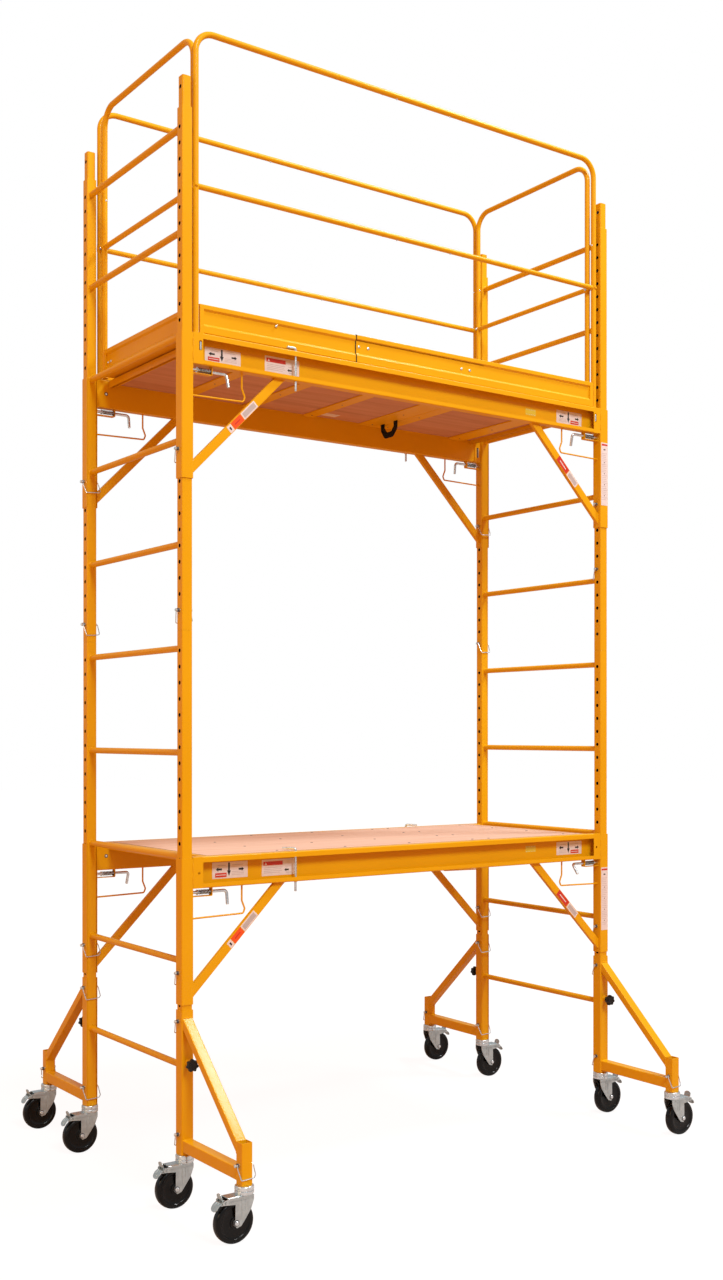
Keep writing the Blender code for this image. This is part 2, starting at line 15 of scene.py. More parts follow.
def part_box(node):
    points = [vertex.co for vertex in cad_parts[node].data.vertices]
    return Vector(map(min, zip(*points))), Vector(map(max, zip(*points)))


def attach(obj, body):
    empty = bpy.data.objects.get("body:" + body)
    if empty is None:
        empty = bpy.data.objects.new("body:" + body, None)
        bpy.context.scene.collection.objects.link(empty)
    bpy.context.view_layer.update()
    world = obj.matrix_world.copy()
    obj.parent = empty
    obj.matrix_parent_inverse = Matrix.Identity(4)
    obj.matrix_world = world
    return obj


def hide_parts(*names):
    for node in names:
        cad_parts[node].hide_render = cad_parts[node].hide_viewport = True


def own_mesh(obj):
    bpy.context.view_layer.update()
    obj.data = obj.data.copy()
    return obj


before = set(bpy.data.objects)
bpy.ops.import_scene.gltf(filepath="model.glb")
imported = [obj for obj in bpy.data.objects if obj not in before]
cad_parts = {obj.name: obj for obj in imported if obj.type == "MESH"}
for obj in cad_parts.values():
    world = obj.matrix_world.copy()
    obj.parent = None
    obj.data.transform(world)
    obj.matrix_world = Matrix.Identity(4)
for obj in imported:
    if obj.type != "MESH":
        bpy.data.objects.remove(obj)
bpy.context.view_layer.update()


def node_box(name):
    low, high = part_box(name)
    return Vector(low), Vector(high)


# Driving dimensions, read from the frame
POST_LOW, POST_HIGH = node_box("frame_lower_left")
UPPER_LOW = node_box("frame_upper_left")[0]
POST = POST_HIGH.x - POST_LOW.x
HALF_L = -(POST_HIGH.x + POST_LOW.x) / 2
HALF_W = POST_HIGH.y - POST / 2
FOOT_Z = POST_LOW.z
GAP = 0.0003
SECTION_H = UPPER_LOW.z - FOOT_Z - GAP
STUB_TOP = POST_HIGH.z - FOOT_Z
RAIL_LOW, RAIL_HIGH = node_box("side_rail_lower_front")
PLATFORM_Z = {level: node_box(f"side_rail_{level}_front")[1].z for level in ("lower", "upper")}
SLEEVE = 2 * (-RAIL_LOW.y - HALF_W)
SLEEVE_BOTTOM = RAIL_LOW.z - RAIL_HIGH.z
DECK_LOW, DECK_HIGH = node_box("deck_lower")
DECK_FRAME_LOW, DECK_FRAME_HIGH = node_box("deck_frame_lower")
OUTRIGGER_LOW, OUTRIGGER_HIGH = node_box("outrigger_front_left")
OUTRIGGER_H = OUTRIGGER_HIGH.z - FOOT_Z
OUTRIGGER_REACH = -OUTRIGGER_LOW.y - POST / 2 - HALF_W
LONG_GUARD_HIGH = node_box("guardrail_front")[1]
SHORT_GUARD_LOW, SHORT_GUARD_HIGH = node_box("guardrail_left")
TOE_LOW, TOE_HIGH = node_box("toe_board_front")
TOE_END_LOW, TOE_END_HIGH = node_box("toe_board_left")
WHEEL_LOW, WHEEL_HIGH = node_box("caster_wheel_front_left_inner")
WHEEL_R = (WHEEL_HIGH.z - WHEEL_LOW.z) / 2
TRAIL = -HALF_L - (WHEEL_LOW.x + WHEEL_HIGH.x) / 2

# Ladder frame
WALL = 0.002
HOLE_PITCH = 0.0508
FIRST_HOLE = 0.0635
HOLES = 31
OUTER_PIN_RISE = 0.058
HOLE_R = 0.0066
STUB = 0.0305
RUNG_R = 0.0105
RUNG_PITCH = 0.3302
TOP_RUNG_DROP = 0.0552
RUNGS = 5

# Side rail, heights measured from its top
RAIL_H = 0.100
RAIL_BACK = 0.3447
RAIL_FACE = HALF_W + SLEEVE / 2 - 0.0005
RAIL_WALL = 0.0025
INSIDE = HALF_L - SLEEVE / 2 + 0.001
END_PLATE_W = 0.036
BRACE_W = 0.029
BRACE_T = 0.015
BRACE_REACH = 0.332
WIRE_R = 0.003
PIN_DROP = 0.1135
BRACKET_END = 0.8230
BRACKET_H = 0.0275
LOCK_COLLAR = 0.025
LOCK_REACH = 0.1332
LOCK_DROP = 0.046
DROP_ROD_X = 0.511
LOOP_X = 0.7095
LOOP_DROP = 0.0965
STRIP_T = 0.0022
LOCK_LEANS = {  # degrees about X, towards -Y
    "lower_front_left": 8,
    "lower_front_right": 38,
    "lower_rear_left": -20,
    "lower_rear_right": 10,
    "upper_front_left": 17,
    "upper_front_right": -12,
    "upper_rear_left": 8,
    "upper_rear_right": -6,
}
LIFT = 0.0001  # how far the labels stand off a face

# Caster and knob
KNOB_R = 0.0205
FORK_IN = 0.0185
FORK_T = 0.003
CROWN_Z = 0.141
PEDAL_X = -0.074
PEDAL_Z = 0.128

# Guard cage
GUARD_R = 0.010
MID_R = 0.0092
GUARD_BEND = 0.066
MID_Z = 0.470
BUTTON_RISE = 0.165
TOE_T = 0.0015

ENDS = (("left", -1), ("right", 1))
SIDES = (("front", -1), ("rear", 1))
LEVELS = ("lower", "upper")
TURN = 2 * math.pi
HALF_TURN = math.pi
QUARTER_TURN = math.pi / 2


# Shape helpers

SHARP = math.radians(35)


class Shape:
    """Closed shells gathered into one mesh, each with the number of its material."""

    def __init__(self):
        self.bm = bmesh.new()

    def add(self, part, material=0, at=None):
        if at is not None:
            part.transform(at)
        for face in part.faces:
            face.material_index = face.material_index or material
        mesh = bpy.data.meshes.new("part")
        part.to_mesh(mesh)
        part.free()
        self.bm.from_mesh(mesh)
        bpy.data.meshes.remove(mesh)
        return self

    def mesh(self, name, *materials, weighted=True):
        """A smooth-shaded mesh. Weighted normals keep its large faces flat between round edges."""
        mesh = bpy.data.meshes.new(name)
        self.bm.to_mesh(mesh)
        self.bm.free()
        for material in materials:
            mesh.materials.append(material)
        mesh.shade_smooth()
        mesh.set_sharp_from_angle(angle=SHARP)
        if not weighted:
            return mesh
        flat = evaluated(mesh, "WEIGHTED_NORMAL", keep_sharp=True)
        bpy.data.meshes.remove(mesh)
        flat.name = name
        return flat


def evaluated(data, modifier=None, **settings):
    """The mesh that a temporary object with this data gives, under a modifier if one is named."""
    obj = bpy.data.objects.new("temporary", data)
    bpy.context.scene.collection.objects.link(obj)
    if modifier:
        added = obj.modifiers.new(modifier, modifier)
        for key, value in settings.items():
            setattr(added, key, value)
    bpy.context.view_layer.update()
    graph = bpy.context.evaluated_depsgraph_get()
    shown = obj.evaluated_get(graph)
    mesh = bpy.data.meshes.new_from_object(shown, preserve_all_data_layers=True, depsgraph=graph)
    bpy.data.objects.remove(obj, do_unlink=True)
    return mesh


def used_up(mesh):
    """A mesh's faces, for further work. The mesh itself is removed."""
    bm = bmesh.new()
    bm.from_mesh(mesh)
    bpy.data.meshes.remove(mesh)
    return bm


def aimed(at, along):
    """The matrix that takes the origin to a point, and +Z to a direction."""
    turn = Vector(along).to_track_quat("Z", "Y").to_matrix().to_4x4()
    return Matrix.Translation(Vector(at)) @ turn


def settled(bm):
    bm.normal_update()
    bmesh.ops.recalc_face_normals(bm, faces=bm.faces)
    return bm


def box(low, high, edge=0.0006):
    """A block with rounded edges."""
    bm = bmesh.new()
    bmesh.ops.create_cube(bm, size=1.0)
    low, high = Vector(low), Vector(high)
    for vert in bm.verts:
        vert.co = (low + high) / 2 + Vector(a * b for a, b in zip(vert.co, high - low))
    bmesh.ops.bevel(bm, geom=bm.edges[:], offset=edge, segments=2, profile=0.5, affect="EDGES")
    return settled(bm)


def loft(rings, closed=False):
    """Faces between rings of points. The end rings are filled, unless the last joins the first."""
    bm = bmesh.new()
    made = [[bm.verts.new(co) for co in ring] for ring in rings]
    count = len(made[0])
    for a, b in zip(made, made[1:] + made[:1] * closed):
        for i in range(count):
            j = (i + 1) % count
            bm.faces.new((a[i], a[j], b[j], b[i]))
    if not closed:
        bm.faces.new(made[0])
        bm.faces.new(made[-1])
    return settled(bm)


def circle(radius, sides, squash=1.0):
    turns = (TURN * i / sides for i in range(sides))
    return [(radius * math.cos(t), radius * squash * math.sin(t)) for t in turns]


def rounded(width, height, radius, steps=4):
    """A rectangle round (0, 0) with round corners."""
    points = []
    for quarter, (sx, sy) in enumerate(((1, 1), (-1, 1), (-1, -1), (1, -1))):
        cx, cy = sx * (width / 2 - radius), sy * (height / 2 - radius)
        for step in range(steps + 1):
            turn = QUARTER_TURN * (quarter + step / steps)
            points.append((cx + radius * math.cos(turn), cy + radius * math.sin(turn)))
    return points


def frames_along(path, up=(0, 0, 1), looped=False):
    """(point, side, other side) along a path, turned as little as the path allows."""
    path = [Vector(p) for p in path]
    count = len(path)
    tangents = []
    for i, point in enumerate(path):
        before = path[i - 1] if i or looped else point
        after = path[(i + 1) % count] if i < count - 1 or looped else point
        ahead = (after - point).normalized() + (point - before).normalized()
        tangents.append(ahead.normalized())
    side = Vector(up).cross(tangents[0])
    if side.length < 1e-3:
        side = Vector((1, 0, 0)).cross(tangents[0])
    side.normalize()
    frames = []
    for i, (point, tangent) in enumerate(zip(path, tangents)):
        if i:
            side = tangents[i - 1].rotation_difference(tangent) @ side
        frames.append((point, side.copy(), tangent.cross(side)))
    return frames



def sweep(path, section, bore=None, up=(0, 0, 1)):
    """A bar along a path. The section is a list of (a, b) points, or a function of the share along
    the path that gives one. A bore of as many points makes it a tube."""
    frames = frames_along(path, up)

    def rings(shape):
        out = []
        for i, (point, a, b) in enumerate(frames):
            points = shape(i / (len(frames) - 1)) if callable(shape) else shape
            out.append([point + a * x + b * y for x, y in points])
        return out

    if bore is None:
        return loft(rings(section))
    return loft(rings(section) + rings(bore)[::-1], closed=True)


def rod(path, radius, sides=16):
    return sweep(path, circle(radius, sides))


def eased_rod(path, radius, tip, sides):
    """A round bar that narrows to the tip's radius over the first and the last step of its path."""
    last = len(path) - 1

    def section(share):
        return circle(tip if round(share * last) in (0, last) else radius, sides)

    return sweep(path, section)


def line(start, end, count=2):
    start, end = Vector(start), Vector(end)
    return [start.lerp(end, i / (count - 1)) for i in range(count)]


def bent(corners, radius, steps=6):
    """The corner points with an arc of the radius in place of each inner corner."""
    corners = [Vector(corner) for corner in corners]
    path = [corners[0]]
    for before, corner, after in zip(corners, corners[1:], corners[2:]):
        back, forth = (before - corner).normalized(), (after - corner).normalized()
        half = back.angle(forth) / 2
        centre = corner + (back + forth).normalized() * radius / math.sin(half)
        start = corner + back * radius / math.tan(half) - centre
        turn = Matrix.Rotation((HALF_TURN - 2 * half) / steps, 3, start.cross(corner - centre))
        for _ in range(steps + 1):
            path.append(centre + start)
            start = turn @ start
    return path + [corners[-1]]


def bent_2d(corners, radius, steps=6):
    return [p.to_2d() for p in bent([(a, b, 0) for a, b in corners], radius, steps)]


def folded(corners, thickness, radius, steps=4):
    """The outline of a sheet folded along a centre line of 2D corners, with round bends."""
    path = bent_2d(corners, radius, steps)
    left, right = [], []
    for before, point, after in zip(path[:1] + path, path, path[1:] + path[-1:]):
        ahead = (after - before).normalized()
        side = Vector((-ahead.y, ahead.x)) * thickness / 2
        left.append(point + side)
        right.append(point - side)
    return left + right[::-1]


def plate(outline, low, high, axis, holes=(), edge=0.0):
    """A flat outline given a thickness from low to high along an axis, with holes through it.

    The outline's points are in the other two axes, in X, Y, Z order. The edge is a rounding.
    """
    curve = bpy.data.curves.new("plate", "CURVE")
    curve.dimensions = "2D"
    curve.fill_mode = "BOTH"
    curve.extrude = (high - low) / 2 - edge
    curve.bevel_depth = edge
    curve.bevel_resolution = 1
    curve.offset = -edge
    for points in (outline, *holes):
        spline = curve.splines.new("POLY")
        spline.points.add(len(points) - 1)
        for point, (a, b) in zip(spline.points, points):
            point.co = (a, b, 0.0, 1.0)
        spline.use_cyclic_u = True
    bm = used_up(evaluated(curve))
    bpy.data.curves.remove(curve)
    bmesh.ops.remove_doubles(bm, verts=bm.verts, dist=1e-6)
    rows = {
        "X": ((0, 0, 1), (1, 0, 0), (0, 1, 0)),
        "Y": ((1, 0, 0), (0, 0, 1), (0, 1, 0)),
        "Z": ((1, 0, 0), (0, 1, 0), (0, 0, 1)),
    }[axis]
    bm.transform(Matrix(rows).to_4x4() @ Matrix.Translation((0, 0, (low + high) / 2)))
    return settled(bm)


def rectangle(x0, z0, x1, z1):
    return [(x0, z0), (x1, z0), (x1, z1), (x0, z1)]


def to_side(side, points):
    """Points with their X towards the left end (-1) or the right end (1)."""
    return [(side * x, *rest) for x, *rest in points]


def round_hole(x, y, radius, sides=16):
    return [(x + a, y + b) for a, b in circle(radius, sides)]


def slot_hole(x, y, width, height):
    return [(x + a, y + b) for a, b in rounded(width, height, min(width, height) / 2 * 0.98, 6)]


def turned(profile, sides=32, at=(0, 0, 0), along=(0, 0, 1)):
    """A profile of (radius, height) points turned about a line. It is a ring unless it starts at
    radius 0."""
    bm = bmesh.new()
    rings = []
    for radius, height in profile:
        around = circle(radius, sides) if radius else [(0, 0)]
        rings.append([bm.verts.new((x, y, height)) for x, y in around])
    for a, b in zip(rings, rings[1:] + rings[:1] * (len(rings[0]) > 1)):
        for i in range(sides):
            j = (i + 1) % sides
            corners = [a[i % len(a)], a[j % len(a)], b[j % len(b)], b[i % len(b)]]
            bm.faces.new(list(dict.fromkeys(corners)))
    bm.transform(aimed(at, along))
    return settled(bm)


def ring(inner, outer, low, high, sides=24, at=(0, 0, 0), along=(0, 0, 1)):
    """A ring between two heights, or a disc if the inner radius is 0."""
    return turned([(inner, low), (outer, low), (outer, high), (inner, high)], sides, at, along)


def weld_ring(at, along, radius, bead=0.0022, bumps=15):
    """The bead where a round bar is welded to a flat face, laid as overlapping drops."""
    place = aimed(at, along)
    rings = []
    steps = bumps * 3
    for i in range(steps):
        angle = TURN * i / steps
        size = bead * (0.86 + 0.14 * math.cos(bumps * angle))
        out = Vector((math.cos(angle), math.sin(angle), 0))
        rings.append([place @ (out * (radius + a) + Vector((0, 0, b))) for a, b in circle(size, 8)])
    return loft(rings, closed=True)


def weld_line(start, end, bead=0.0022):
    """A straight bead of overlapping drops."""
    length = (Vector(end) - Vector(start)).length
    drops = max(3, round(length / 0.0032))
    steps = drops * 3

    def section(share):
        taper = min(1.0, 12 * share + 0.3, 12 * (1 - share) + 0.3)
        return circle(bead * taper * (0.86 + 0.14 * math.cos(TURN * drops * share)), 8)

    return sweep(line(start, end, steps + 1), section)


def pan_head(at, along, radius=0.0042, height=0.0026):
    """A domed screw head with a cross-shaped recess drawn as a shallow dish."""
    profile = [(0, -0.001), (radius, -0.001), (radius, height * 0.35)]
    for step in range(1, 6):
        turn = QUARTER_TURN * step / 6
        profile.append((radius * math.cos(turn), height * (0.35 + 0.65 * math.sin(turn))))
    profile += [(radius * 0.22, height), (0, height * 0.55)]
    return turned(profile, 20, at, along)


def hex_head(at, along, across=0.010, height=0.0042):
    """A hexagon head on its washer, with the corners chamfered."""
    corner = across / math.sqrt(3)
    rings = []
    for radius, z in ((corner, 0.0008), (corner, height - 0.0008), (corner * 0.86, height)):
        rings.append([Vector((x, y, z)) for x, y in circle(radius, 6)])
    shape = Shape().add(loft(rings)).add(ring(0, corner * 1.35, -0.0005, 0.0009))
    shape.bm.transform(aimed(at, along))
    return shape.bm


def piece(name, mesh, body, at=(0, 0, 0), turn=0.0, replaces=()):
    """A shown piece that rides on a body and may stand for CAD nodes."""
    obj = bpy.data.objects.new(name, mesh)
    bpy.context.scene.collection.objects.link(obj)
    obj.location = at
    obj.rotation_euler = (0, 0, turn)
    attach(obj, body)
    if replaces:
        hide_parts(*replaces)
    return obj


def stand_in(name, mesh, body, at=(0, 0, 0), turn=0.0):
    """The piece shown in place of the CAD node of that name."""
    return piece(f"{name}_look", mesh, body, at, turn, [name])


def half_turn(sign):
    """The turn that a piece drawn for the negative side needs on this side."""
    return 0.0 if sign < 0 else HALF_TURN


# Materials

PLY_T = 0.0024

class Look:
    """A material whose Principled shader is fed by procedural nodes."""

    def __init__(self, name, **sockets):
        self.material = bpy.data.materials.new(name)
        self.material.use_nodes = True
        self.tree = self.material.node_tree
        self.shader = self.tree.nodes["Principled BSDF"]
        self.place = self.node("TexCoord").outputs["Object"]
        self.feed(**sockets)

    def fill(self, socket, value):
        """Give a socket another socket's output, or a constant."""
        if isinstance(value, bpy.types.NodeSocket):
            self.tree.links.new(value, socket)
        elif isinstance(value, tuple) and socket.type == "RGBA":
            socket.default_value = (*value, 1.0)
        else:
            socket.default_value = value

    def node(self, kind, inputs=(), **settings):
        """A node with the values of its inputs by name or number, and its other settings."""
        made = self.tree.nodes.new(f"ShaderNode{kind}")
        for key, value in settings.items():
            setattr(made, key, value)
        for key, value in dict(inputs).items():
            self.fill(made.inputs[key], value)
        return made

    def stretched(self, scale):
        return self.node("Mapping", {"Vector": self.place, "Scale": scale}).outputs["Vector"]

    def noise(self, scale, detail=3.0, stretch=(1, 1, 1), roughness=0.5):
        inputs = {"Vector": self.stretched(stretch), "Scale": scale}
        inputs.update(Detail=detail, Roughness=roughness)
        return self.node("TexNoise", inputs).outputs["Fac"]

    def ramp(self, source, *stops):
        """Colours, or grey levels, at shares of the source's value."""
        ramp = self.node("ValToRGB", {"Fac": source})
        elements = ramp.color_ramp.elements
        while len(elements) < len(stops):
            elements.new(0.5)
        for element, (position, colour) in zip(elements, stops):
            element.position = position
            element.color = (*(colour if isinstance(colour, tuple) else (colour,) * 3), 1.0)
        return ramp.outputs["Color"]

    def mix(self, share, first, second, blend="MIX"):
        inputs = {0: share, 1: first, 2: second}
        return self.node("MixRGB", inputs, blend_type=blend).outputs["Color"]

    def maths(self, operation, *values):
        return self.node("Math", enumerate(values), operation=operation).outputs["Value"]

    def bump(self, height, strength, distance, under=None):
        inputs = {"Strength": strength, "Distance": distance, "Height": height}
        if under is not None:
            inputs["Normal"] = under
        return self.node("Bump", inputs).outputs["Normal"]

    def feed(self, **sources):
        """Fill the shader's inputs, an underscore standing for a space."""
        for key, source in sources.items():
            self.fill(self.shader.inputs[key.replace("_", " ")], source)
        return self.material


def powder_coat():
    """Semi-gloss orange-yellow powder coat: a fine orange-peel skin with faint handling marks."""
    gloss = {"Coat_Weight": 0.12, "Coat_Roughness": 0.13, "IOR": 1.45, "Specular_IOR_Level": 0.16}
    look = Look("orange_powder_coat", **gloss)
    tone = look.ramp(look.noise(2.2, 2.0), (0.3, (0.75, 0.435, 0.004)), (0.7, (0.80, 0.475, 0.006)))
    speck = look.ramp(look.noise(260.0, 2.0), (0.66, 0.0), (0.74, 0.10))
    colour = look.mix(speck, tone, (0.78, 0.32, 0.002))
    scuff = look.noise(46.0, 6.0, (1, 1, 0.35), 0.7)
    rough = look.ramp(scuff, (0.35, 0.34), (0.62, 0.40), (0.75, 0.54))
    peel = look.noise(520.0, 1.0)
    wave = look.noise(95.0, 2.0)
    normal = look.bump(peel, 0.10, 0.0004, look.bump(wave, 0.06, 0.0008))
    return look.feed(Base_Color=colour, Roughness=rough, Normal=normal)


def plywood(name, pale, brown, grain_bump):
    """Rotary-cut veneer with its grain along X, and the plies showing along the edges."""
    look = Look(name, Specular_IOR_Level=0.35)
    streak = look.noise(26.0, 8.0, (0.06, 1.0, 1.0), 0.62)
    cathedral = look.noise(5.0, 3.0, (0.22, 1.0, 1.0), 0.55)
    bent_bands = {"Scale": 6.0, "Distortion": 9.0, "Detail": 3.0, "Detail Scale": 0.8}
    bent_bands["Vector"] = look.stretched((0.16, 1.0, 1.0))
    wave = look.node("TexWave", bent_bands, wave_type="BANDS", bands_direction="Y")
    veneer = look.ramp(streak, (0.3, brown), (0.52, pale), (0.8, tuple(c * 1.04 for c in pale)))
    bands = look.mix(0.22, veneer, look.ramp(wave.outputs["Fac"], (0.1, brown), (0.8, pale)))
    face = look.mix(0.30, bands, look.ramp(cathedral, (0.35, brown), (0.6, pale)), "MULTIPLY")

    height = look.node("SeparateXYZ", {"Vector": look.place}).outputs["Z"]
    share = look.maths("DIVIDE", look.maths("PINGPONG", height, PLY_T), PLY_T)
    dark = tuple(c * 0.45 for c in brown)
    plies = look.ramp(share, (0.42, dark), (0.58, pale))
    normal = look.node("NewGeometry").outputs["True Normal"]
    flat = look.maths("ABSOLUTE", look.node("SeparateXYZ", {"Vector": normal}).outputs["Z"])
    colour = look.mix(look.ramp(flat, (0.4, 0.0), (0.6, 1.0)), plies, face)
    rough = look.ramp(streak, (0.3, 0.74), (0.7, 0.62))
    bump = look.bump(look.noise(70.0, 6.0, (0.05, 1.0, 1.0), 0.7), grain_bump, 0.0006)
    return look.feed(Base_Color=colour, Roughness=rough, Normal=bump)


def zinc_plate(name, colour, roughness, metallic):
    """Bright zinc over pressed steel: a soft spangle, uneven roughness and a fine grain."""
    look = Look(name, Metallic=metallic)
    spangle = look.noise(60.0, 3.0)
    dim = tuple(c * 0.80 for c in colour)
    tone = look.ramp(spangle, (0.35, dim), (0.65, colour))
    rough = look.ramp(look.noise(150.0, 4.0), (0.3, roughness - 0.06), (0.7, roughness + 0.10))
    normal = look.bump(look.noise(420.0, 2.0), 0.08, 0.0003)
    return look.feed(Base_Color=tone, Roughness=rough, Normal=normal)


def black_plastic(name, level, roughness, grain):
    look = Look(name, IOR=1.46, Specular_IOR_Level=0.3)
    tone = look.ramp(look.noise(30.0, 3.0), (0.3, level * 0.85), (0.7, level * 1.15))
    rough = look.ramp(look.noise(90.0, 5.0), (0.3, roughness - 0.05), (0.7, roughness + 0.07))
    normal = look.bump(look.noise(900.0, 2.0), grain, 0.0003)
    return look.feed(Base_Color=tone, Roughness=rough, Normal=normal)


def webbing():
    """Black polyester webbing: a herringbone of fine ribs across its width."""
    look = Look("black_webbing", Specular_IOR_Level=0.2)
    ribs = {"Vector": look.place, "Scale": 220.0, "Distortion": 0.6}
    wave = look.node("TexWave", ribs, wave_type="BANDS", bands_direction="DIAGONAL").outputs["Fac"]
    tone = look.ramp(wave, (0.2, 0.003), (0.8, 0.010))
    rough = look.ramp(wave, (0.2, 0.85), (0.8, 0.65))
    return look.feed(Base_Color=tone, Roughness=rough, Normal=look.bump(wave, 0.5, 0.0005))


def vinyl(name, colour):
    """A printed label film with a slight unevenness."""
    look = Look(name, Coat_Weight=0.2, Coat_Roughness=0.2)
    dim = tuple(c * 0.93 for c in colour)
    tone = look.ramp(look.noise(40.0, 3.0), (0.35, dim), (0.65, colour))
    rough = look.ramp(look.noise(120.0, 2.0), (0.3, 0.36), (0.7, 0.46))
    normal = look.bump(look.noise(160.0, 2.0), 0.06, 0.0004)
    return look.feed(Base_Color=tone, Roughness=rough, Normal=normal)


ORANGE = powder_coat()
PLY_TOP = plywood("plywood_top", (0.84, 0.69, 0.58), (0.71, 0.55, 0.44), 0.25)
# The underside is a darker, redder copy of the same plywood: painted shade and orange bounce light.
PLY_SHADED_UNDER = plywood("plywood_underside_shaded", (0.66, 0.39, 0.25), (0.52, 0.29, 0.18), 0.25)
ZINC = zinc_plate("zinc_plate", (0.83, 0.86, 0.87), 0.27, 0.95)
PRESSED = zinc_plate("pressed_zinc", (0.60, 0.65, 0.65), 0.36, 0.92)
DARK_STEEL = zinc_plate("dark_steel", (0.16, 0.16, 0.165), 0.40, 0.85)
# Near-black painted shade for the insides of tubes and holes, and for the shadow line at the toe
# board's joint.
PAINTED_SHADE = zinc_plate("tube_bore_painted_shade", (0.014, 0.006, 0.003), 0.80, 0.0)
NYLON = black_plastic("black_nylon", 0.013, 0.42, 0.10)
RUBBER = black_plastic("black_rubber", 0.0032, 0.20, 0.02)
WEBBING = webbing()
INKS = {
    "white": vinyl("label_white", (0.80, 0.84, 0.88)),
    "red": vinyl("label_red", (0.62, 0.035, 0.015)),
    "black": vinyl("label_black", (0.008, 0.008, 0.009)),
    "grey": vinyl("label_grey", (0.52, 0.53, 0.55)),
    "yellow": vinyl("label_yellow", (0.74, 0.66, 0.05)),
    "vermilion": vinyl("label_vermilion", (0.88, 0.10, 0.008)),
}
INK = {name: number for number, name in enumerate(INKS)}


# Ladder frames


def square_tube(width, bottom, top, y=0.0, wall=WALL, corner=0.0035):
    """An upright square tube. Its bore has the second material, the near-black painted shade, apart
    from the mouths.
    """
    path = [(0, y, bottom), (0, y, bottom + 0.0006), (0, y, top - 0.0006), (0, y, top)]

    def outer(share):
        trim = 0.0008 if share in (0, 1) else 0.0
        return rounded(width - trim, width - trim, corner)

    bore = rounded(width - 2 * wall, width - 2 * wall, corner - wall * 0.6)
    bm = sweep(path, outer, bore, (0, 1, 0))
    inner = width / 2 - wall + 0.0001
    for face in bm.faces:
        if all(abs(v.co.x) < inner and abs(v.co.y - y) < inner for v in face.verts):
            face.material_index = 1
    return bm


def drilled(bm, cutters):
    """A mesh with another one cut from it. Faces keep the numbers of their materials."""
    meshes = []
    for name, source in (("body", bm), ("cutter", cutters)):
        mesh = bpy.data.meshes.new(name)
        source.to_mesh(mesh)
        source.free()
        for material in (ORANGE, PAINTED_SHADE):
            mesh.materials.append(material)
        meshes.append(mesh)
    cutter = bpy.data.objects.new("cutter", meshes[1])
    bpy.context.scene.collection.objects.link(cutter)
    mesh = evaluated(meshes[0], "BOOLEAN", operation="DIFFERENCE", solver="EXACT", object=cutter)
    bpy.data.objects.remove(cutter, do_unlink=True)
    return used_up(mesh)


def hole_bars(heights):
    """Bars along X at these heights, to cut a post's holes with. They give the holes' walls the
    second material, the near-black painted shade.
    """
    shape = Shape()
    for z in heights:
        shape.add(rod([(-POST, 0, z), (POST, 0, z)], HOLE_R), 1)
    return shape.bm


def frame_mesh():
    """Two posts with their holes and coupling stubs, and the rungs welded between them."""
    shape = Shape()
    heights = [FIRST_HOLE + HOLE_PITCH * i for i in range(HOLES)]
    post = drilled(square_tube(POST, 0.0, SECTION_H), hole_bars(heights))
    stub = square_tube(STUB, SECTION_H - 0.05, STUB_TOP, corner=0.0055)
    stub = drilled(stub, hole_bars([SECTION_H + FIRST_HOLE]))
    for y, part in product((-HALF_W, HALF_W), (post, stub)):
        shape.add(part.copy(), at=Matrix.Translation((0, y, 0)))
    post.free()
    stub.free()
    inner = HALF_W - POST / 2
    for i in range(RUNGS):
        z = SECTION_H - TOP_RUNG_DROP - RUNG_PITCH * i
        shape.add(rod([(0, -inner - 0.001, z), (0, inner + 0.001, z)], RUNG_R, 28))
        for side in (-1, 1):
            shape.add(weld_ring((0, side * (inner - 0.0006), z), (0, 1, 0), RUNG_R + 0.0002))
    return shape.mesh("frame", ORANGE, PAINTED_SHADE)


def build_frames():
    mesh = frame_mesh()
    for level, z in zip(LEVELS, (FOOT_Z, UPPER_LOW.z)):
        for end, x in ENDS:
            name = f"frame_{level}_{end}"
            stand_in(name, mesh, "tower", (x * HALF_L, 0, z))


# Side rails


def sleeve(x, y, bottom, top):
    """The sleeve round a post, open on the side of the tower's middle, with round corners."""
    half = SLEEVE / 2 - WALL / 2
    back = y + POST / 2 + 0.001
    corners = [(x - half, back), (x - half, y - half), (x + half, y - half), (x + half, back)]
    return plate(folded(corners, WALL, 0.0028), bottom, top, "Z")


def channel_outline():
    """The lipped channel in Y and Z, its open side outwards."""
    outer, back = -RAIL_FACE + RAIL_WALL / 2, -RAIL_BACK - RAIL_WALL / 2
    top, bottom = -RAIL_WALL / 2, -RAIL_H + RAIL_WALL / 2
    upper = [(outer, -0.018), (outer, top), (back, top)]
    lower = [(back, bottom), (outer, bottom), (outer, -RAIL_H + 0.015)]
    return folded(upper + lower, RAIL_WALL, 0.0026)


def rail_mesh(level):
    shape = Shape().add(plate(channel_outline(), -INSIDE, INSIDE, "X"))
    for side in (-1, 1):
        shape.add(sleeve(side * HALF_L, -HALF_W, SLEEVE_BOTTOM, -0.003))
        add_rail_end(shape, side, level)
    return shape.mesh(f"side_rail_{level}", ORANGE, ZINC, DARK_STEEL)


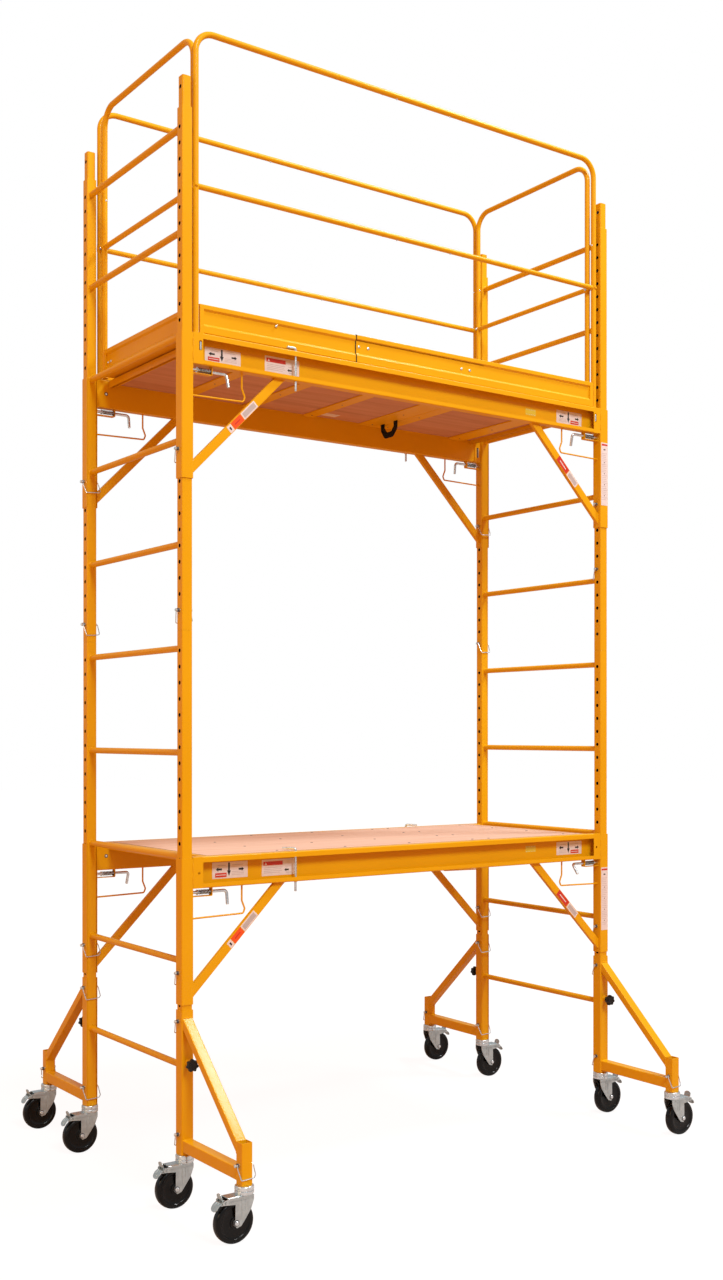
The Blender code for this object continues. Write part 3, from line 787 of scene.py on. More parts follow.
def add_rail_end(shape, side, level):
    """End plate, knee brace, hand loop, lock pin bracket and their welds."""
    y = -HALF_W
    bottom = -RAIL_H
    top = bottom + 0.0015
    face = -RAIL_FACE - 0.0002
    near, far = sorted((side * INSIDE, side * (INSIDE - END_PLATE_W)))
    middle = side * 0.8716
    if level == "lower":
        hole = round_hole(side * 0.8766, -0.052, 0.0042)
    else:
        hole = slot_hole(middle, -0.0407, 0.0105, 0.033)
    outline = rectangle(near, bottom + 0.0005, far, -0.0005)
    shape.add(plate(outline, face, face + RAIL_WALL, "Y", [hole], 0.0006))
    if level == "upper":
        hook = [(middle + 0.0014, face + 0.0045, z) for z in (-0.0545, -0.052, -0.029, -0.0265)]
        shape.add(eased_rod(hook, 0.0044, 0.0024, 16), 1)
    add_inner_end(shape, side, level)

    foot = INSIDE - BRACE_REACH
    half = BRACE_W / math.sqrt(2)
    low = top - BRACE_REACH
    brace = [(foot - half, top), (INSIDE, low - half), (INSIDE, low + half), (foot + half, top)]
    edges = (y - BRACE_T / 2, y + BRACE_T / 2)
    shape.add(plate(to_side(side, brace), *edges, "Y", edge=0.0016))
    loop = [(LOOP_X, y, top), (LOOP_X, y, bottom - 0.0510), (0.6985, y, bottom - 0.0775)]
    loop += [(0.7045, y, bottom - 0.0925), (INSIDE, y, bottom - LOOP_DROP)]
    shape.add(rod(bent(to_side(side, loop), 0.008), WIRE_R, 12))
    shelf = bottom - BRACKET_H
    outer = BRACKET_END + STRIP_T / 2
    strip = [(outer, top), (outer, shelf + STRIP_T / 2), (INSIDE, shelf + STRIP_T / 2)]
    outline = folded(to_side(side, strip), STRIP_T, STRIP_T)
    shape.add(plate(outline, y - 0.010, y + 0.010, "Y"))

    seam = face - 0.0002
    welds = [
        ((INSIDE, y - 0.010, shelf + 0.0025), (INSIDE, y + 0.010, shelf + 0.0025)),
        ((INSIDE, seam, -0.020), (INSIDE, seam, -0.045)),
        ((INSIDE, seam, -0.062), (INSIDE, seam, -0.086)),
    ]
    end = INSIDE - 0.0008
    for across in edges:
        welds.append(((foot - half, across, bottom), (foot + half, across, bottom)))
        welds.append(((end, across, low - half), (end, across, low + half)))
    for ends in welds:
        shape.add(weld_line(*to_side(side, ends), 0.0019))
    loop_end = (side * (INSIDE - 0.001), y, bottom - LOOP_DROP)
    shape.add(weld_ring(loop_end, (1, 0, 0), WIRE_R, 0.0014, 7))
    shape.add(weld_ring((side * LOOP_X, y, bottom - 0.0004), (0, 0, 1), WIRE_R, 0.0014, 7))


def add_inner_end(shape, side, level):
    """On the web's back: a slotted plate at the left end, and a bolt end at the right one. The
    lower platform's rails have a bolt end at both."""
    back = -RAIL_BACK
    if side > 0 or level == "lower":
        at = (side * 0.860, back, -0.0495)
        shape.add(ring(0, 0.0066, -0.001, 0.0008, 24, at, (0, 1, 0)), 2)
        shape.add(pan_head(at, (0, 1, 0), 0.0042, 0.0040), 1)
        return
    near, far = side * (INSIDE - 0.0006), side * (INSIDE - END_PLATE_W)
    middle = (near + far) / 2
    slot = slot_hole(middle, -0.058, 0.0105, 0.044)
    outline = rectangle(near, -RAIL_H + 0.001, far, -0.006)
    shape.add(plate(outline, back - 0.0005, back + RAIL_WALL, "Y", [slot], 0.0006))
    low = (middle - 0.0050, back - 0.0002, -0.0790)
    shape.add(box(low, (middle + 0.0050, back + 0.0006, -0.0370), 0.0002), 2)
    x = middle + side * 0.0022
    hook = [(x, back + 0.0020, z) for z in (-0.0775, -0.0760, -0.0410, -0.0395)]
    shape.add(eased_rod(hook, 0.0020, 0.0010, 12), 1)


def lock_pin_mesh():
    """The L-handled pin along X, its nose at the origin, with a washer and roll pin as collar."""
    drop = bent([(0, 0, 0), (LOCK_REACH, 0, 0), (LOCK_REACH, 0, -LOCK_DROP)], 0.011, 8)
    ends = [Vector((0.0015, 0, 0)), *drop[1:-1], drop[-1] + Vector((0, 0, 0.0015))]
    shape = Shape().add(eased_rod([drop[0], *ends, drop[-1]], 0.005, 0.0035, 20))
    shape.add(ring(0.0052, 0.0085, -0.0008, 0.0008, 28, (LOCK_COLLAR, 0, 0), (1, 0, 0)))
    across = LOCK_COLLAR - 0.0021
    shape.add(rod([(across, -0.0078, 0), (across, 0.0078, 0)], 0.0012, 10))
    return shape.mesh("lock_pin", ZINC)


def spring_mesh(length):
    """A compression spring along X from the origin, with closed end coils."""
    turns, radius, steps = 9, 0.0072, 16
    path = []
    for i in range(turns * steps + 1):
        share = i / (turns * steps)
        angle = TURN * turns * share
        ends = min(share, 1 - share) * turns
        slack = 0.0 if ends > 1 else 0.004 * (1 - ends) * (1 if share < 0.5 else -1)
        x = min(max(share * length - slack, 0.001), length - 0.001)
        path.append((x, radius * math.cos(angle), radius * math.sin(angle)))
    return Shape().add(sweep(path, circle(0.0009, 8), up=(1, 0, 0))).mesh("spring", DARK_STEEL)


def build_lock_pins():
    """At each platform corner a pin, drawn at its own lean, and a spring of one fixed length from
    its collar to the bracket.
    """
    mesh = lock_pin_mesh()
    nose = HALF_L - POST / 2 - GAP
    length = nose - LOCK_COLLAR - 0.001 - BRACKET_END - 0.0023
    spring = spring_mesh(length)
    for level, (side, y), (end, x) in product(LEVELS, SIDES, ENDS):
        corner = f"{level}_{side}_{end}"
        name = f"lock_pin_{corner}"
        z = PLATFORM_Z[level] - PIN_DROP
        at = Vector((x * nose, y * HALF_W, z))
        leaning = mesh.copy()
        leaning.transform(Matrix.Rotation(x * math.radians(LOCK_LEANS[corner]), 4, "X"))
        stand_in(name, leaning, name, at, half_turn(x))
        inner = at - Vector((x * (LOCK_COLLAR + 0.001), 0, 0))
        coil = piece(f"spring_{corner}", spring, f"platform_{level}", inner, half_turn(x))
        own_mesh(coil)


# Decks


def deck_mesh():
    """A plywood sheet with eased edges, pale on top, and underneath a darker, redder copy of the
    plywood that is painted shade and orange bounce light.
    """
    low = Vector((DECK_LOW.x, DECK_LOW.y, DECK_LOW.z - PLATFORM_Z["lower"]))
    high = Vector((DECK_HIGH.x, DECK_HIGH.y, DECK_HIGH.z - PLATFORM_Z["lower"]))
    shape = Shape().add(box(low, high, 0.0009))
    # Faces that look down take the painted-shade copy of the plywood.
    for face in shape.bm.faces:
        face.material_index = 1 if face.normal.z < -0.5 else 0
    return shape.mesh("deck", PLY_TOP, PLY_SHADED_UNDER)


CROSS_BARS = (  # X from, X to, thickness
    (-0.575, -0.524, 0.005),
    (-0.298, -0.247, 0.005),
    (-0.020, 0.031, 0.005),
    (0.250, 0.3475, 0.0038),
    (0.348, 0.405, 0.005),
    (0.715, 0.797, 0.005),
)
DECK_UNDER = DECK_LOW.z - PLATFORM_Z["lower"] - GAP
END_BAR_W = 0.018
END_BAR_WALL = 0.0025
EDGING_H = 0.016
EDGING_T = 0.0022


def deck_frame_mesh():
    """Flat bars across the deck and a channel at each end, tied by an edging along each side."""
    shape = Shape()
    half_l, reach = DECK_FRAME_HIGH.x, DECK_FRAME_HIGH.y
    low = DECK_FRAME_LOW.z - PLATFORM_Z["lower"]
    bar_reach = reach - 0.0008
    for side in (-1, 1):
        near, far = sorted((side * (reach - EDGING_T), side * reach))
        start = (-half_l + 0.0006, near, -EDGING_H)
        shape.add(box(start, (half_l - 0.0006, far, -0.0003), 0.0004))
        outer = side * (half_l - END_BAR_WALL / 2)
        inner = side * (half_l - END_BAR_W + END_BAR_WALL / 2)
        top = -END_BAR_WALL / 2
        corners = [(outer, low), (outer, top), (inner, top), (inner, low)]
        outline = folded(corners, END_BAR_WALL, 0.0030)
        shape.add(plate(outline, -bar_reach, bar_reach, "Y"))
    for x0, x1, thick in CROSS_BARS:
        start = (x0, -bar_reach, DECK_UNDER - thick)
        shape.add(box(start, (x1, bar_reach, DECK_UNDER), 0.0006))
        for y in (-1, 1):
            seam = y * (reach - EDGING_T), DECK_UNDER - thick
            shape.add(weld_line((x0 + 0.003, *seam), (x1 - 0.003, *seam), 0.0016))
    return shape.mesh("deck_frame", ORANGE)


def deck_screws_mesh():
    """Countersunk screws down through the plywood into each bar, and their ends below."""
    shape = Shape()
    top = DECK_HIGH.z - PLATFORM_Z["lower"]
    for x0, x1, thick in CROSS_BARS:
        x = (x0 + x1) / 2
        for y in (-0.315, -0.105, 0.105, 0.315):
            shape.add(pan_head((x, y, top + 0.0002), (0, 0, 1), 0.0046, 0.0012))
            shape.add(pan_head((x, y, DECK_UNDER - thick), (0, 0, -1), 0.0030, 0.0014))
    return shape.mesh("deck_screws", DARK_STEEL)


def strap_mesh():
    """A flat webbing hand loop hung edgewise under the wide bar, with a stitched patch a side."""
    x, near, far = 0.334, 0.205, 0.2915
    half, drop, thick = 0.0118, 0.060, 0.0026
    top = DECK_UNDER - CROSS_BARS[3][2] - GAP
    middle = (near + far) / 2
    low, high = top - drop, top - drop + 2 * half
    outer = [(near - half, top), (near - half, top - 0.030), (middle - 0.026, low)]
    outer += [(middle + 0.030, low), (far + half, top - 0.026), (far + half, top)]
    inner = [(far - half, top), (far - half, top - 0.016), (middle + 0.016, high)]
    inner += [(middle - 0.014, high), (near + half, top - 0.018), (near + half, top)]
    outline = bent_2d(outer, 0.020) + bent_2d(inner, 0.009)
    shape = Shape().add(plate(outline, x - thick / 2, x + thick / 2, "X", edge=0.0008))
    for y in (near, far):
        patch = (x - thick, y - half * 0.9, top - 0.011)
        shape.add(box(patch, (x + thick, y + half * 0.9, top), 0.0008))
    return shape.mesh("strap", WEBBING)


def drop_rod_mesh(hook):
    """The bent rod that keeps the deck down: through both flanges of the rail, with its hook along
    the vector given."""
    y = -RAIL_FACE + RAIL_WALL + 0.0043
    top = Vector((0, y, 0.0095))
    tip = top + Vector((*hook, -0.0010))
    path = bent([(0, y, -RAIL_H - 0.033), top, tip], 0.0062, 8)
    eased = (tip - top).normalized() * 0.0012
    path = [path[0], path[0] + Vector((0, 0, 0.0012)), *path[1:-1], tip - eased, tip]
    shape = Shape().add(eased_rod(path, 0.0040, 0.0027, 18))
    shape.add(ring(0.0040, 0.0062, -0.0006, 0.0006, 24, (0, y, -RAIL_H - 0.0005)), 1)
    return shape.mesh("drop_rod", ZINC, ORANGE)


def build_platforms():
    """Each platform's rails, deck, drop rods and screws, and the upper deck's strap and tag."""
    deck, deck_frame, screws = deck_mesh(), deck_frame_mesh(), deck_screws_mesh()
    hooks = {"lower": (-0.026, 0.042), "upper": (-0.034, 0.0)}
    for level in LEVELS:
        rod_mesh = drop_rod_mesh(hooks[level])
        body = f"platform_{level}"
        at = (0, 0, PLATFORM_Z[level])
        rail = rail_mesh(level)
        for side, y in SIDES:
            stand_in(f"side_rail_{level}_{side}", rail, body, at, half_turn(y))
            rod_at = (y * DROP_ROD_X, 0, PLATFORM_Z[level])
            piece(f"drop_rod_{level}_{side}", rod_mesh, body, rod_at, half_turn(y))
        stand_in(f"deck_{level}", deck, body, at)
        stand_in(f"deck_frame_{level}", deck_frame, body, at)
        piece(f"deck_screws_{level}", screws, body, at)
    at = (0, 0, PLATFORM_Z["upper"])
    piece("strap_loop_upper", strap_mesh(), "platform_upper", at)
    under = DECK_UNDER + GAP
    tag = Shape().add(box((0.040, 0.268, under - 0.0005), (0.109, 0.309, under - 0.0001), 0.0001))
    piece("deck_tag_upper", tag.mesh("deck_tag", INKS["white"]), "platform_upper", at)


# Guard cage


def flattened_tube(half, radius, flat):
    """A bar along X whose ends are pressed flat where a bolt holds them."""
    steps = 8
    end = []
    for i in range(steps + 1):
        share = i / steps
        end.append((half + flat - 2.4 * flat * share, 1 - share * share * (3 - 2 * share)))
    stretches = [(-x, press) for x, press in end] + end[::-1]
    last = len(stretches) - 1

    def section(share):
        press = stretches[round(share * last)][1]
        return [(a * (1 - 0.74 * press), b * (1 + 0.42 * press)) for a, b in circle(radius, 20)]

    return sweep([(x, 0, 0) for x, _ in stretches], section)


def guardrail_mesh(name, half, top, telescopes):
    """A bent tube with two legs, a middle rail with pressed ends, and their bolts."""
    corners = [(-half, 0, GAP), (-half, 0, top), (half, 0, top), (half, 0, GAP)]
    tube = circle(GUARD_R, 24), circle(GUARD_R - 0.0015, 24)
    shape = Shape().add(sweep(bent(corners, GUARD_BEND, 16), *tube, up=(0, 1, 0)))
    shape.add(flattened_tube(half, MID_R, 0.011), at=Matrix.Translation((0, 0, MID_Z)))
    skin = GUARD_R + 0.0006
    for side in (-1, 1):
        x = side * half
        shape.add(hex_head((x, -skin, MID_Z), (0, -1, 0), 0.0085, 0.0034))
        shape.add(hex_head((x, skin, MID_Z), (0, 1, 0), 0.0085, 0.0050), 1)
        shape.add(weld_ring((x, 0, 0.0022), (0, 0, 1), GUARD_R + 0.0002, 0.0019, 14))
        button = (x - side * (GUARD_R - 0.0006), 0, MID_Z + BUTTON_RISE)
        shape.add(pan_head(button, (-side, 0, 0), 0.0034, 0.0032), 1)
    rails = ((top, GUARD_R), (MID_Z, MID_R)) if telescopes else ()
    for z, r in rails:
        low, high = r - 0.0004, r + 0.0007
        joint = [(low, -0.0009), (high, -0.0005), (high, 0.0005), (low, 0.0009)]
        for x in (-0.14, 0.22):
            shape.add(turned(joint, 28, (x, 0, z), (1, 0, 0)))
        for x in (-0.08, 0.16):
            shape.add(pan_head((x, 0, z - r + 0.0004), (0, 0, -1), 0.0034, 0.0030), 1)
    return shape.mesh(name, ORANGE, ZINC)


def toe_outline(face, height, inset=0.0, foot=0.014):
    """The folded board in Y and Z: lips at top and bottom and a recessed face over a ridge."""
    lip, t = 0.014, TOE_T
    out = -face + t / 2 + inset
    top, low = height - t / 2 - inset, 0.003 + t / 2 + inset
    step = height - lip - inset
    corners = [(out + lip, top), (out, top), (out, step), (out + 0.006, step - 0.006)]
    corners += [(out + 0.006, 0.0345), (out, 0.0275), (out, low), (out + foot, low)]
    return folded(corners, t, 0.0016, 3)


def toe_end_cap(shape, x, side, face, height):
    """The upright fold that closes one end of a toe board."""
    near, far = sorted((x, x - side * 0.015))
    shape.add(box((near, -face + 0.0002, 0.0035), (far, -face + 0.0082, height - 0.0004), 0.0008))


def long_toe_meshes():
    """The two overlapping halves of a long toe board: the near one on the right, over the other."""
    face = -TOE_LOW.y
    height = TOE_HIGH.z - PLATFORM_Z["upper"]
    half = TOE_HIGH.x + 0.006
    over, under = Shape(), Shape()
    joint = -0.2582
    overlap = 0.315
    over.add(plate(toe_outline(face, height), joint, half - 0.001, "X"))
    # A near-black strip at the joint is a painted shadow line along the overlapping sheet's edge.
    over.add(plate(toe_outline(face + 0.0004, height + 0.0002), joint - 0.003, joint, "X"), 2)
    toe_end_cap(over, half, 1, face, height)
    under.add(plate(toe_outline(face, height, TOE_T + 0.0002), -half + 0.001, overlap, "X"))
    toe_end_cap(under, -half, -1, face - TOE_T - 0.0002, height - TOE_T - 0.0002)
    for x, z in ((-0.2465, 0.0588), (-0.2072, 0.0588), (0.2088, 0.0526), (0.2483, 0.0526)):
        over.add(pan_head((x, -face + 0.006, z), (0, -1, 0), 0.0048, 0.0030), 1)
    under.add(pan_head((-0.5816, -face + 0.0045, 0.0730), (0, -1, 0), 0.0042, 0.0030), 1)
    return over.mesh("toe_over", ORANGE, ZINC, PAINTED_SHADE), under.mesh("toe_under", ORANGE, ZINC)


def short_toe_mesh():
    face = -TOE_END_LOW.x
    height = TOE_END_HIGH.z - PLATFORM_Z["upper"]
    half = TOE_END_HIGH.y
    foot = face - DECK_HIGH.x + 0.002
    outline = toe_outline(face, height, 0.0, foot)
    shape = Shape().add(plate(outline, -half + 0.001, half - 0.001, "X"))
    for side in (-1, 1):
        toe_end_cap(shape, side * half, side, face, height)
        for x in (0.270, 0.292):
            shape.add(pan_head((side * x, -face + 0.006, 0.0500), (0, -1, 0), 0.0044, 0.0028), 1)
    return shape.mesh("toe_short", ORANGE, ZINC)


def build_guard_cage():
    """Guardrails and toe boards on the four sides of the upper platform."""
    body = "platform_upper"
    z = PLATFORM_Z["upper"]
    long_half = LONG_GUARD_HIGH.x - GUARD_R
    short_half = SHORT_GUARD_HIGH.y - GUARD_R
    short_x = -(SHORT_GUARD_LOW.x + SHORT_GUARD_HIGH.x) / 2
    long_rail = guardrail_mesh("guard_long", long_half, LONG_GUARD_HIGH.z - GUARD_R - z, True)
    short_rail = guardrail_mesh("guard_short", short_half, SHORT_GUARD_HIGH.z - GUARD_R - z, False)
    over, under = long_toe_meshes()
    short_toe = short_toe_mesh()
    for side, y in SIDES:
        turn = half_turn(y)
        stand_in(f"guardrail_{side}", long_rail, body, (0, y * HALF_W, z), turn)
        name = f"toe_board_{side}"
        piece(f"{name}_over", over, body, (0, 0, z), turn, [name])
        piece(f"{name}_under", under, body, (0, 0, z), turn)
    for end, x in ENDS:
        turn = x * QUARTER_TURN
        stand_in(f"guardrail_{end}", short_rail, body, (x * short_x, 0, z), turn)
        stand_in(f"toe_board_{end}", short_toe, body, (0, 0, z), turn)


# Base


def outrigger_mesh():
    """One outrigger that widens the base towards -Y, with its post's foot at the origin."""
    out = SLEEVE / 2
    tube = -OUTRIGGER_REACH
    tube_top = 0.125
    arm = (0.010, 0.048)
    strut_top = 0.431
    strut_t = 0.026
    knob_z = node_box("knob_front_left")[0].z + KNOB_R - FOOT_Z
    shape = Shape().add(sleeve(0.0, 0.0, 0.0, OUTRIGGER_H))
    outer_tube = square_tube(POST, 0.0, tube_top, tube)
    for face in outer_tube.faces:
        face.material_index = 0
    shape.add(outer_tube)
    near, far = -out + 0.001, tube + POST / 2 - 0.001
    middle = (arm[0] + arm[1]) / 2
    section = rounded(POST, arm[1] - arm[0], 0.0032)
    shape.add(sweep([(0, near, middle), (0, far, middle)], section))
    low = tube_top - 0.001
    drop = strut_t * math.hypot(near - far, strut_top - low) / (near - far)
    outline = [(near, strut_top), (far, low), (far, low - drop), (near, strut_top - drop)]
    shape.add(plate(outline, -POST / 2 + 0.0005, POST / 2 - 0.0005, "X", edge=0.0028))
    boss = [(0.0050, -0.001), (0.0098, -0.001), (0.0098, 0.007), (0.0090, 0.0079)]
    shape.add(turned(boss + [(0.0050, 0.0079)], 24, (0, -out, knob_z), (0, -1, 0)))
    shape.add(weld_ring((0, -out, knob_z), (0, 1, 0), 0.0099, 0.0016, 13))
    half = POST / 2 - 0.001
    back = near - 0.001
    strut_ends = ((back, strut_top - drop, strut_top), (far, low - drop, low - 0.002))
    for x, (y, z0, z1) in product((-half, half), ((back, *arm), (far, *arm), *strut_ends)):
        shape.add(weld_line((x, y, z0), (x, y, z1)))
    for y, z in ((back, arm[1]), (far, arm[1]), (back, strut_top), (back, arm[0])):
        shape.add(weld_line((-half, y, z), (half, y, z)))
    return shape.mesh("outrigger", ORANGE, PAINTED_SHADE)


def knob_mesh():
    """A seven-lobed knob with a dished front on a threaded stud. The axis is Y."""
    lobes, steps = 7, 12
    profile = (  # Y, and the share of the radius there
        (-0.0420, 0.80), (-0.0425, 0.90), (-0.0440, 0.97), (-0.0470, 1.00), (-0.0540, 1.00),
        (-0.0572, 0.97), (-0.0592, 0.89), (-0.0598, 0.78), (-0.0594, 0.66), (-0.0580, 0.60),
        (-0.0576, 0.30),
    )
    rings = []
    for y, scale in profile:
        points = []
        for i in range(lobes * steps):
            angle = TURN * i / (lobes * steps)
            r = (KNOB_R - 0.0022 + 0.0022 * math.cos(lobes * angle)) * scale
            points.append(Vector((r * math.sin(angle), y, r * math.cos(angle))))
        rings.append(points)
    shape = Shape().add(loft(rings))
    hub = [(0, 0.0430), (0.0092, 0.0430), (0.0088, 0.0312), (0, 0.0312)]
    shape.add(turned(hub, 28, along=(0, -1, 0)))
    root, thread = 0.0320, 0.0011
    start = POST / 2 + GAP
    stud = [(0, root)]
    for i in range(int((root - start) / thread)):
        y = root - thread * i
        stud += [(0.0040, y), (0.0034, y - thread / 2)]
    stud += [(0.0036, start), (0, start)]
    shape.add(turned(stud, 20, along=(0, -1, 0)), 1)
    return shape.mesh("knob", NYLON, ZINC)


def fork_mesh():
    """Stem, ball-race cup, pressed fork and axle bolt, with the swivel axis on Z."""
    shape = Shape()
    base, top = CROWN_Z, FOOT_Z - GAP
    cup = [
        (0.0, base - 0.001), (0.0280, base - 0.001), (0.0288, base + 0.0008),
        (0.0290, base + 0.0030), (0.0290, base + 0.0075), (0.0284, base + 0.0087),
        (0.0268, base + 0.0092), (0.0268, base + 0.0102), (0.0282, base + 0.0108),
        (0.0290, base + 0.0122), (0.0290, top - 0.0036), (0.0284, top - 0.0018),
        (0.0268, top - 0.0006), (0.0250, top), (0.0, top),
    ]
    shape.add(turned(cup, 48), 1)
    stem = [(0, top - 0.001), (0.0135, top - 0.001), (0.0135, top + 0.078)]
    shape.add(turned(stem + [(0.012, top + 0.080), (0, top + 0.080)]))
    leg_y = FORK_IN + FORK_T / 2
    crown_top = CROWN_Z - FORK_T / 2
    crown = [(-leg_y, 0.1270), (-leg_y, crown_top), (leg_y, crown_top), (leg_y, 0.1270)]
    shape.add(plate(folded(crown, FORK_T, 0.0045, 6), -0.066, 0.0205, "X"))
    corners = [
        (-0.0835, 0.1275), (-0.0835, 0.1325), (-0.0660, 0.1385), (0.0210, 0.1385),
        (0.0205, 0.1230), (0.0110, 0.0975), (-0.0120, 0.0660), (-0.0225, 0.0530),
        (-0.0370, 0.0485), (-0.0430, 0.0550), (-0.0420, 0.1180), (-0.0660, 0.1205),
        (-0.0835, 0.1225), (-0.0835, 0.1275),
    ]
    leg = bent_2d(corners, 0.0016, 4)[:-1]
    # The dark washer ring under each axle bolt head is painted shadow round the head.
    washer = (0, 0.0092, -0.001, 0.0007, 28)
    bolt = [(0, 0), (0.0068, 0), (0.0068, 0.0026)]
    bolt += [(0.0056, 0.0042), (0.0026, 0.0046), (0, 0.0032)]
    spacer = (0.0062, 0.0100, 0.0, 0.0014, 24)
    reach = FORK_IN + FORK_T
    for side in (-1, 1):
        near, far = sorted((side * FORK_IN, side * reach))
        hole = round_hole(PEDAL_X, PEDAL_Z, 0.0036)
        shape.add(plate(leg, near, far, "Y", [hole], 0.0005))
        out = side * reach
        for x, foot in ((-0.0195, 0.078), (-0.0085, 0.094)):
            rib = line((x, out, 0.1290), (x + 0.0008, out, foot), 9)
            shape.add(sweep(rib, lambda share: circle(0.0019 - 0.0014 * (2 * share - 1) ** 4, 10)))
        shape.add(ring(*washer, (-TRAIL, out, WHEEL_R), (0, side, 0)), 2)
        shape.add(turned(bolt, 28, (-TRAIL, out, WHEEL_R), (0, side, 0)), 1)
        shape.add(ring(*spacer, (-TRAIL, side * FORK_IN, WHEEL_R), (0, -side, 0)))
    shape.add(rod([(-TRAIL, -reach, WHEEL_R), (-TRAIL, reach, WHEEL_R)], 0.006, 20))
    shape.add(hex_head((0, 0, CROWN_Z - 0.0030), (0, 0, -1), 0.016, 0.005))
    return shape.mesh("caster_fork", PRESSED, ZINC, DARK_STEEL)


def wheel_mesh():
    """A solid wheel about Y: crowned tread, raised rim, dished web and a hub with its bush."""
    half = 0.016
    side = [
        (0.0070, half + 0.0009), (0.0165, half + 0.0009), (0.0180, half + 0.0002),
        (0.0186, half - 0.0030), (0.0205, half - 0.0042), (0.0340, half - 0.0050),
        (0.0452, half - 0.0040), (0.0474, half - 0.0022), (0.0488, half - 0.0004),
        (0.0515, half + 0.0002), (0.0560, half - 0.0004), (0.0595, half - 0.0020),
        (0.0618, half - 0.0046), (0.0630, half - 0.0085), (WHEEL_R, half - 0.0135),
    ]
    profile = side + [(r, -z) for r, z in reversed(side)]
    shape = Shape().add(turned(profile, 72, along=(0, 1, 0)))
    shape.add(ring(0.0066, 0.0096, -half - 0.0014, half + 0.0014, 28, along=(0, 1, 0)), 1)
    return shape.mesh("caster_wheel", RUBBER, ZINC)


def tongue(points, widths, thickness):
    """A pressed tab along points in XZ, whose half width follows the widths."""
    last = len(points) - 1

    def section(share):
        where = share * last
        index = min(int(where), last - 1)
        half = widths[index] + (widths[index + 1] - widths[index]) * (where - index)
        return rounded(2 * half, thickness, thickness * 0.45, 2)

    return sweep([(x, 0, z) for x, z in points], section)


def arc_points(corners, radius, spacing):
    """Evenly spaced points along a path in XZ with round bends."""
    path = bent([(x, 0, z) for x, z in corners], radius, 5)
    points = [path[0]]
    for a, b in zip(path, path[1:]):
        pieces = max(1, round((b - a).length / spacing))
        points += [a.lerp(b, i / pieces) for i in range(1, pieces + 1)]
    return [(p.x, p.z) for p in points]


def narrowed(count, half, least, reach):
    """Half widths for so many points of a tab, which narrows in a curve over the last ones."""
    widths = []
    for left in reversed(range(count)):
        curve = math.sqrt(1 - max(0.0, 1 - left / reach) ** 2)
        widths.append(half * max(least, curve))
    return widths


def pedal_mesh():
    """The brake pedal about its pivot: a broad locking tongue and an upright release tab."""
    shape = Shape()
    half = FORK_IN - 0.0015
    locking = [(0.004, 0.0), (-0.012, -0.001), (-0.022, -0.008), (-0.0320, -0.0235)]
    lower = arc_points(locking, 0.008, 0.0022)
    shape.add(tongue(lower, narrowed(len(lower), half, 0.28, 5), 0.0030))
    upper = arc_points([(-0.001, 0.001), (-0.0080, 0.0095), (-0.0122, 0.0250)], 0.006, 0.0022)
    shape.add(tongue(upper, narrowed(len(upper), half * 0.86, 0.3, 4), 0.0030))
    cheek = [(0.0058, 0.0040), (-0.0020, 0.0085), (-0.0085, 0.0060), (-0.0105, -0.0010)]
    cheek += [(-0.0160, -0.0070), (-0.0080, -0.0078), (0.0058, -0.0040)]
    for side in (-1, 1):
        near, far = sorted((side * (half - 0.0026), side * half))
        shape.add(plate(cheek, near, far, "Y", edge=0.0006))
        y = side * 0.006
        rib = [(-0.013, y, 0.0004), (-0.021, y, -0.0056), (-0.028, side * 0.005, -0.0160)]
        shape.add(sweep(bent(rib, 0.02, 4), circle(0.0013, 10)))
    reach = FORK_IN + FORK_T + 0.0010
    shape.add(ring(0, 0.0030, -reach, reach, 20, along=(0, 1, 0)))
    return shape.mesh("caster_pedal", PRESSED)


def bail_pin_mesh(half):
    """A snap pin along X through a tube of that half width, its wire bail round the -Y face."""
    shape = Shape()
    nose = [(0, -half - 0.0160), (0.0036, -half - 0.0158), (0.0050, -half - 0.0145)]
    neck = [(0.0050, -half - 0.0105), (0.0040, -half - 0.0095), (0.0040, half + 0.0060)]
    tail = [(0.0026, half + 0.0085), (0, half + 0.0085)]
    shape.add(turned(nose + neck + tail, 20, along=(1, 0, 0)))
    head = [(0.0038, -0.0016), (0.0064, -0.0012), (0.0064, 0.0012), (0.0038, 0.0016)]
    shape.add(turned(head, 24, (-half - 0.0015, 0, 0), (1, 0, 0)))
    for x in (-half - 0.0045, -half - 0.0071):
        coil = [Vector((x, a, b)) for a, b in circle(0.0052, 20)]
        rings = []
        for point, a, b in frames_along(coil, (1, 0, 0), looped=True):
            rings.append([point + a * u + b * v for u, v in circle(0.0012, 8)])
        shape.add(loft(rings, closed=True), 1)
    bail = [
        (-half - 0.0068, -0.0040, 0.0030),
        (-half - 0.0085, -0.0075, -0.0080),
        (-half - 0.0030, -half - 0.0020, -0.0400),
        (half + 0.0040, -half - 0.0026, -0.0375),
        (half + 0.0150, -half * 0.55, -0.0330),
        (half + 0.0085, -0.0080, -0.0040),
        (half + 0.0066, 0.0020, 0.0048),
    ]
    shape.add(rod(bent(bail, 0.0042), 0.0016, 10))
    return shape.mesh("bail_pin", ZINC, DARK_STEEL, weighted=False)


def hole_height(level, index):
    """The height of one of a post's holes, counted from the foot of its frame."""
    base = FOOT_Z if level == "lower" else UPPER_LOW.z
    return base + FIRST_HOLE + HOLE_PITCH * index


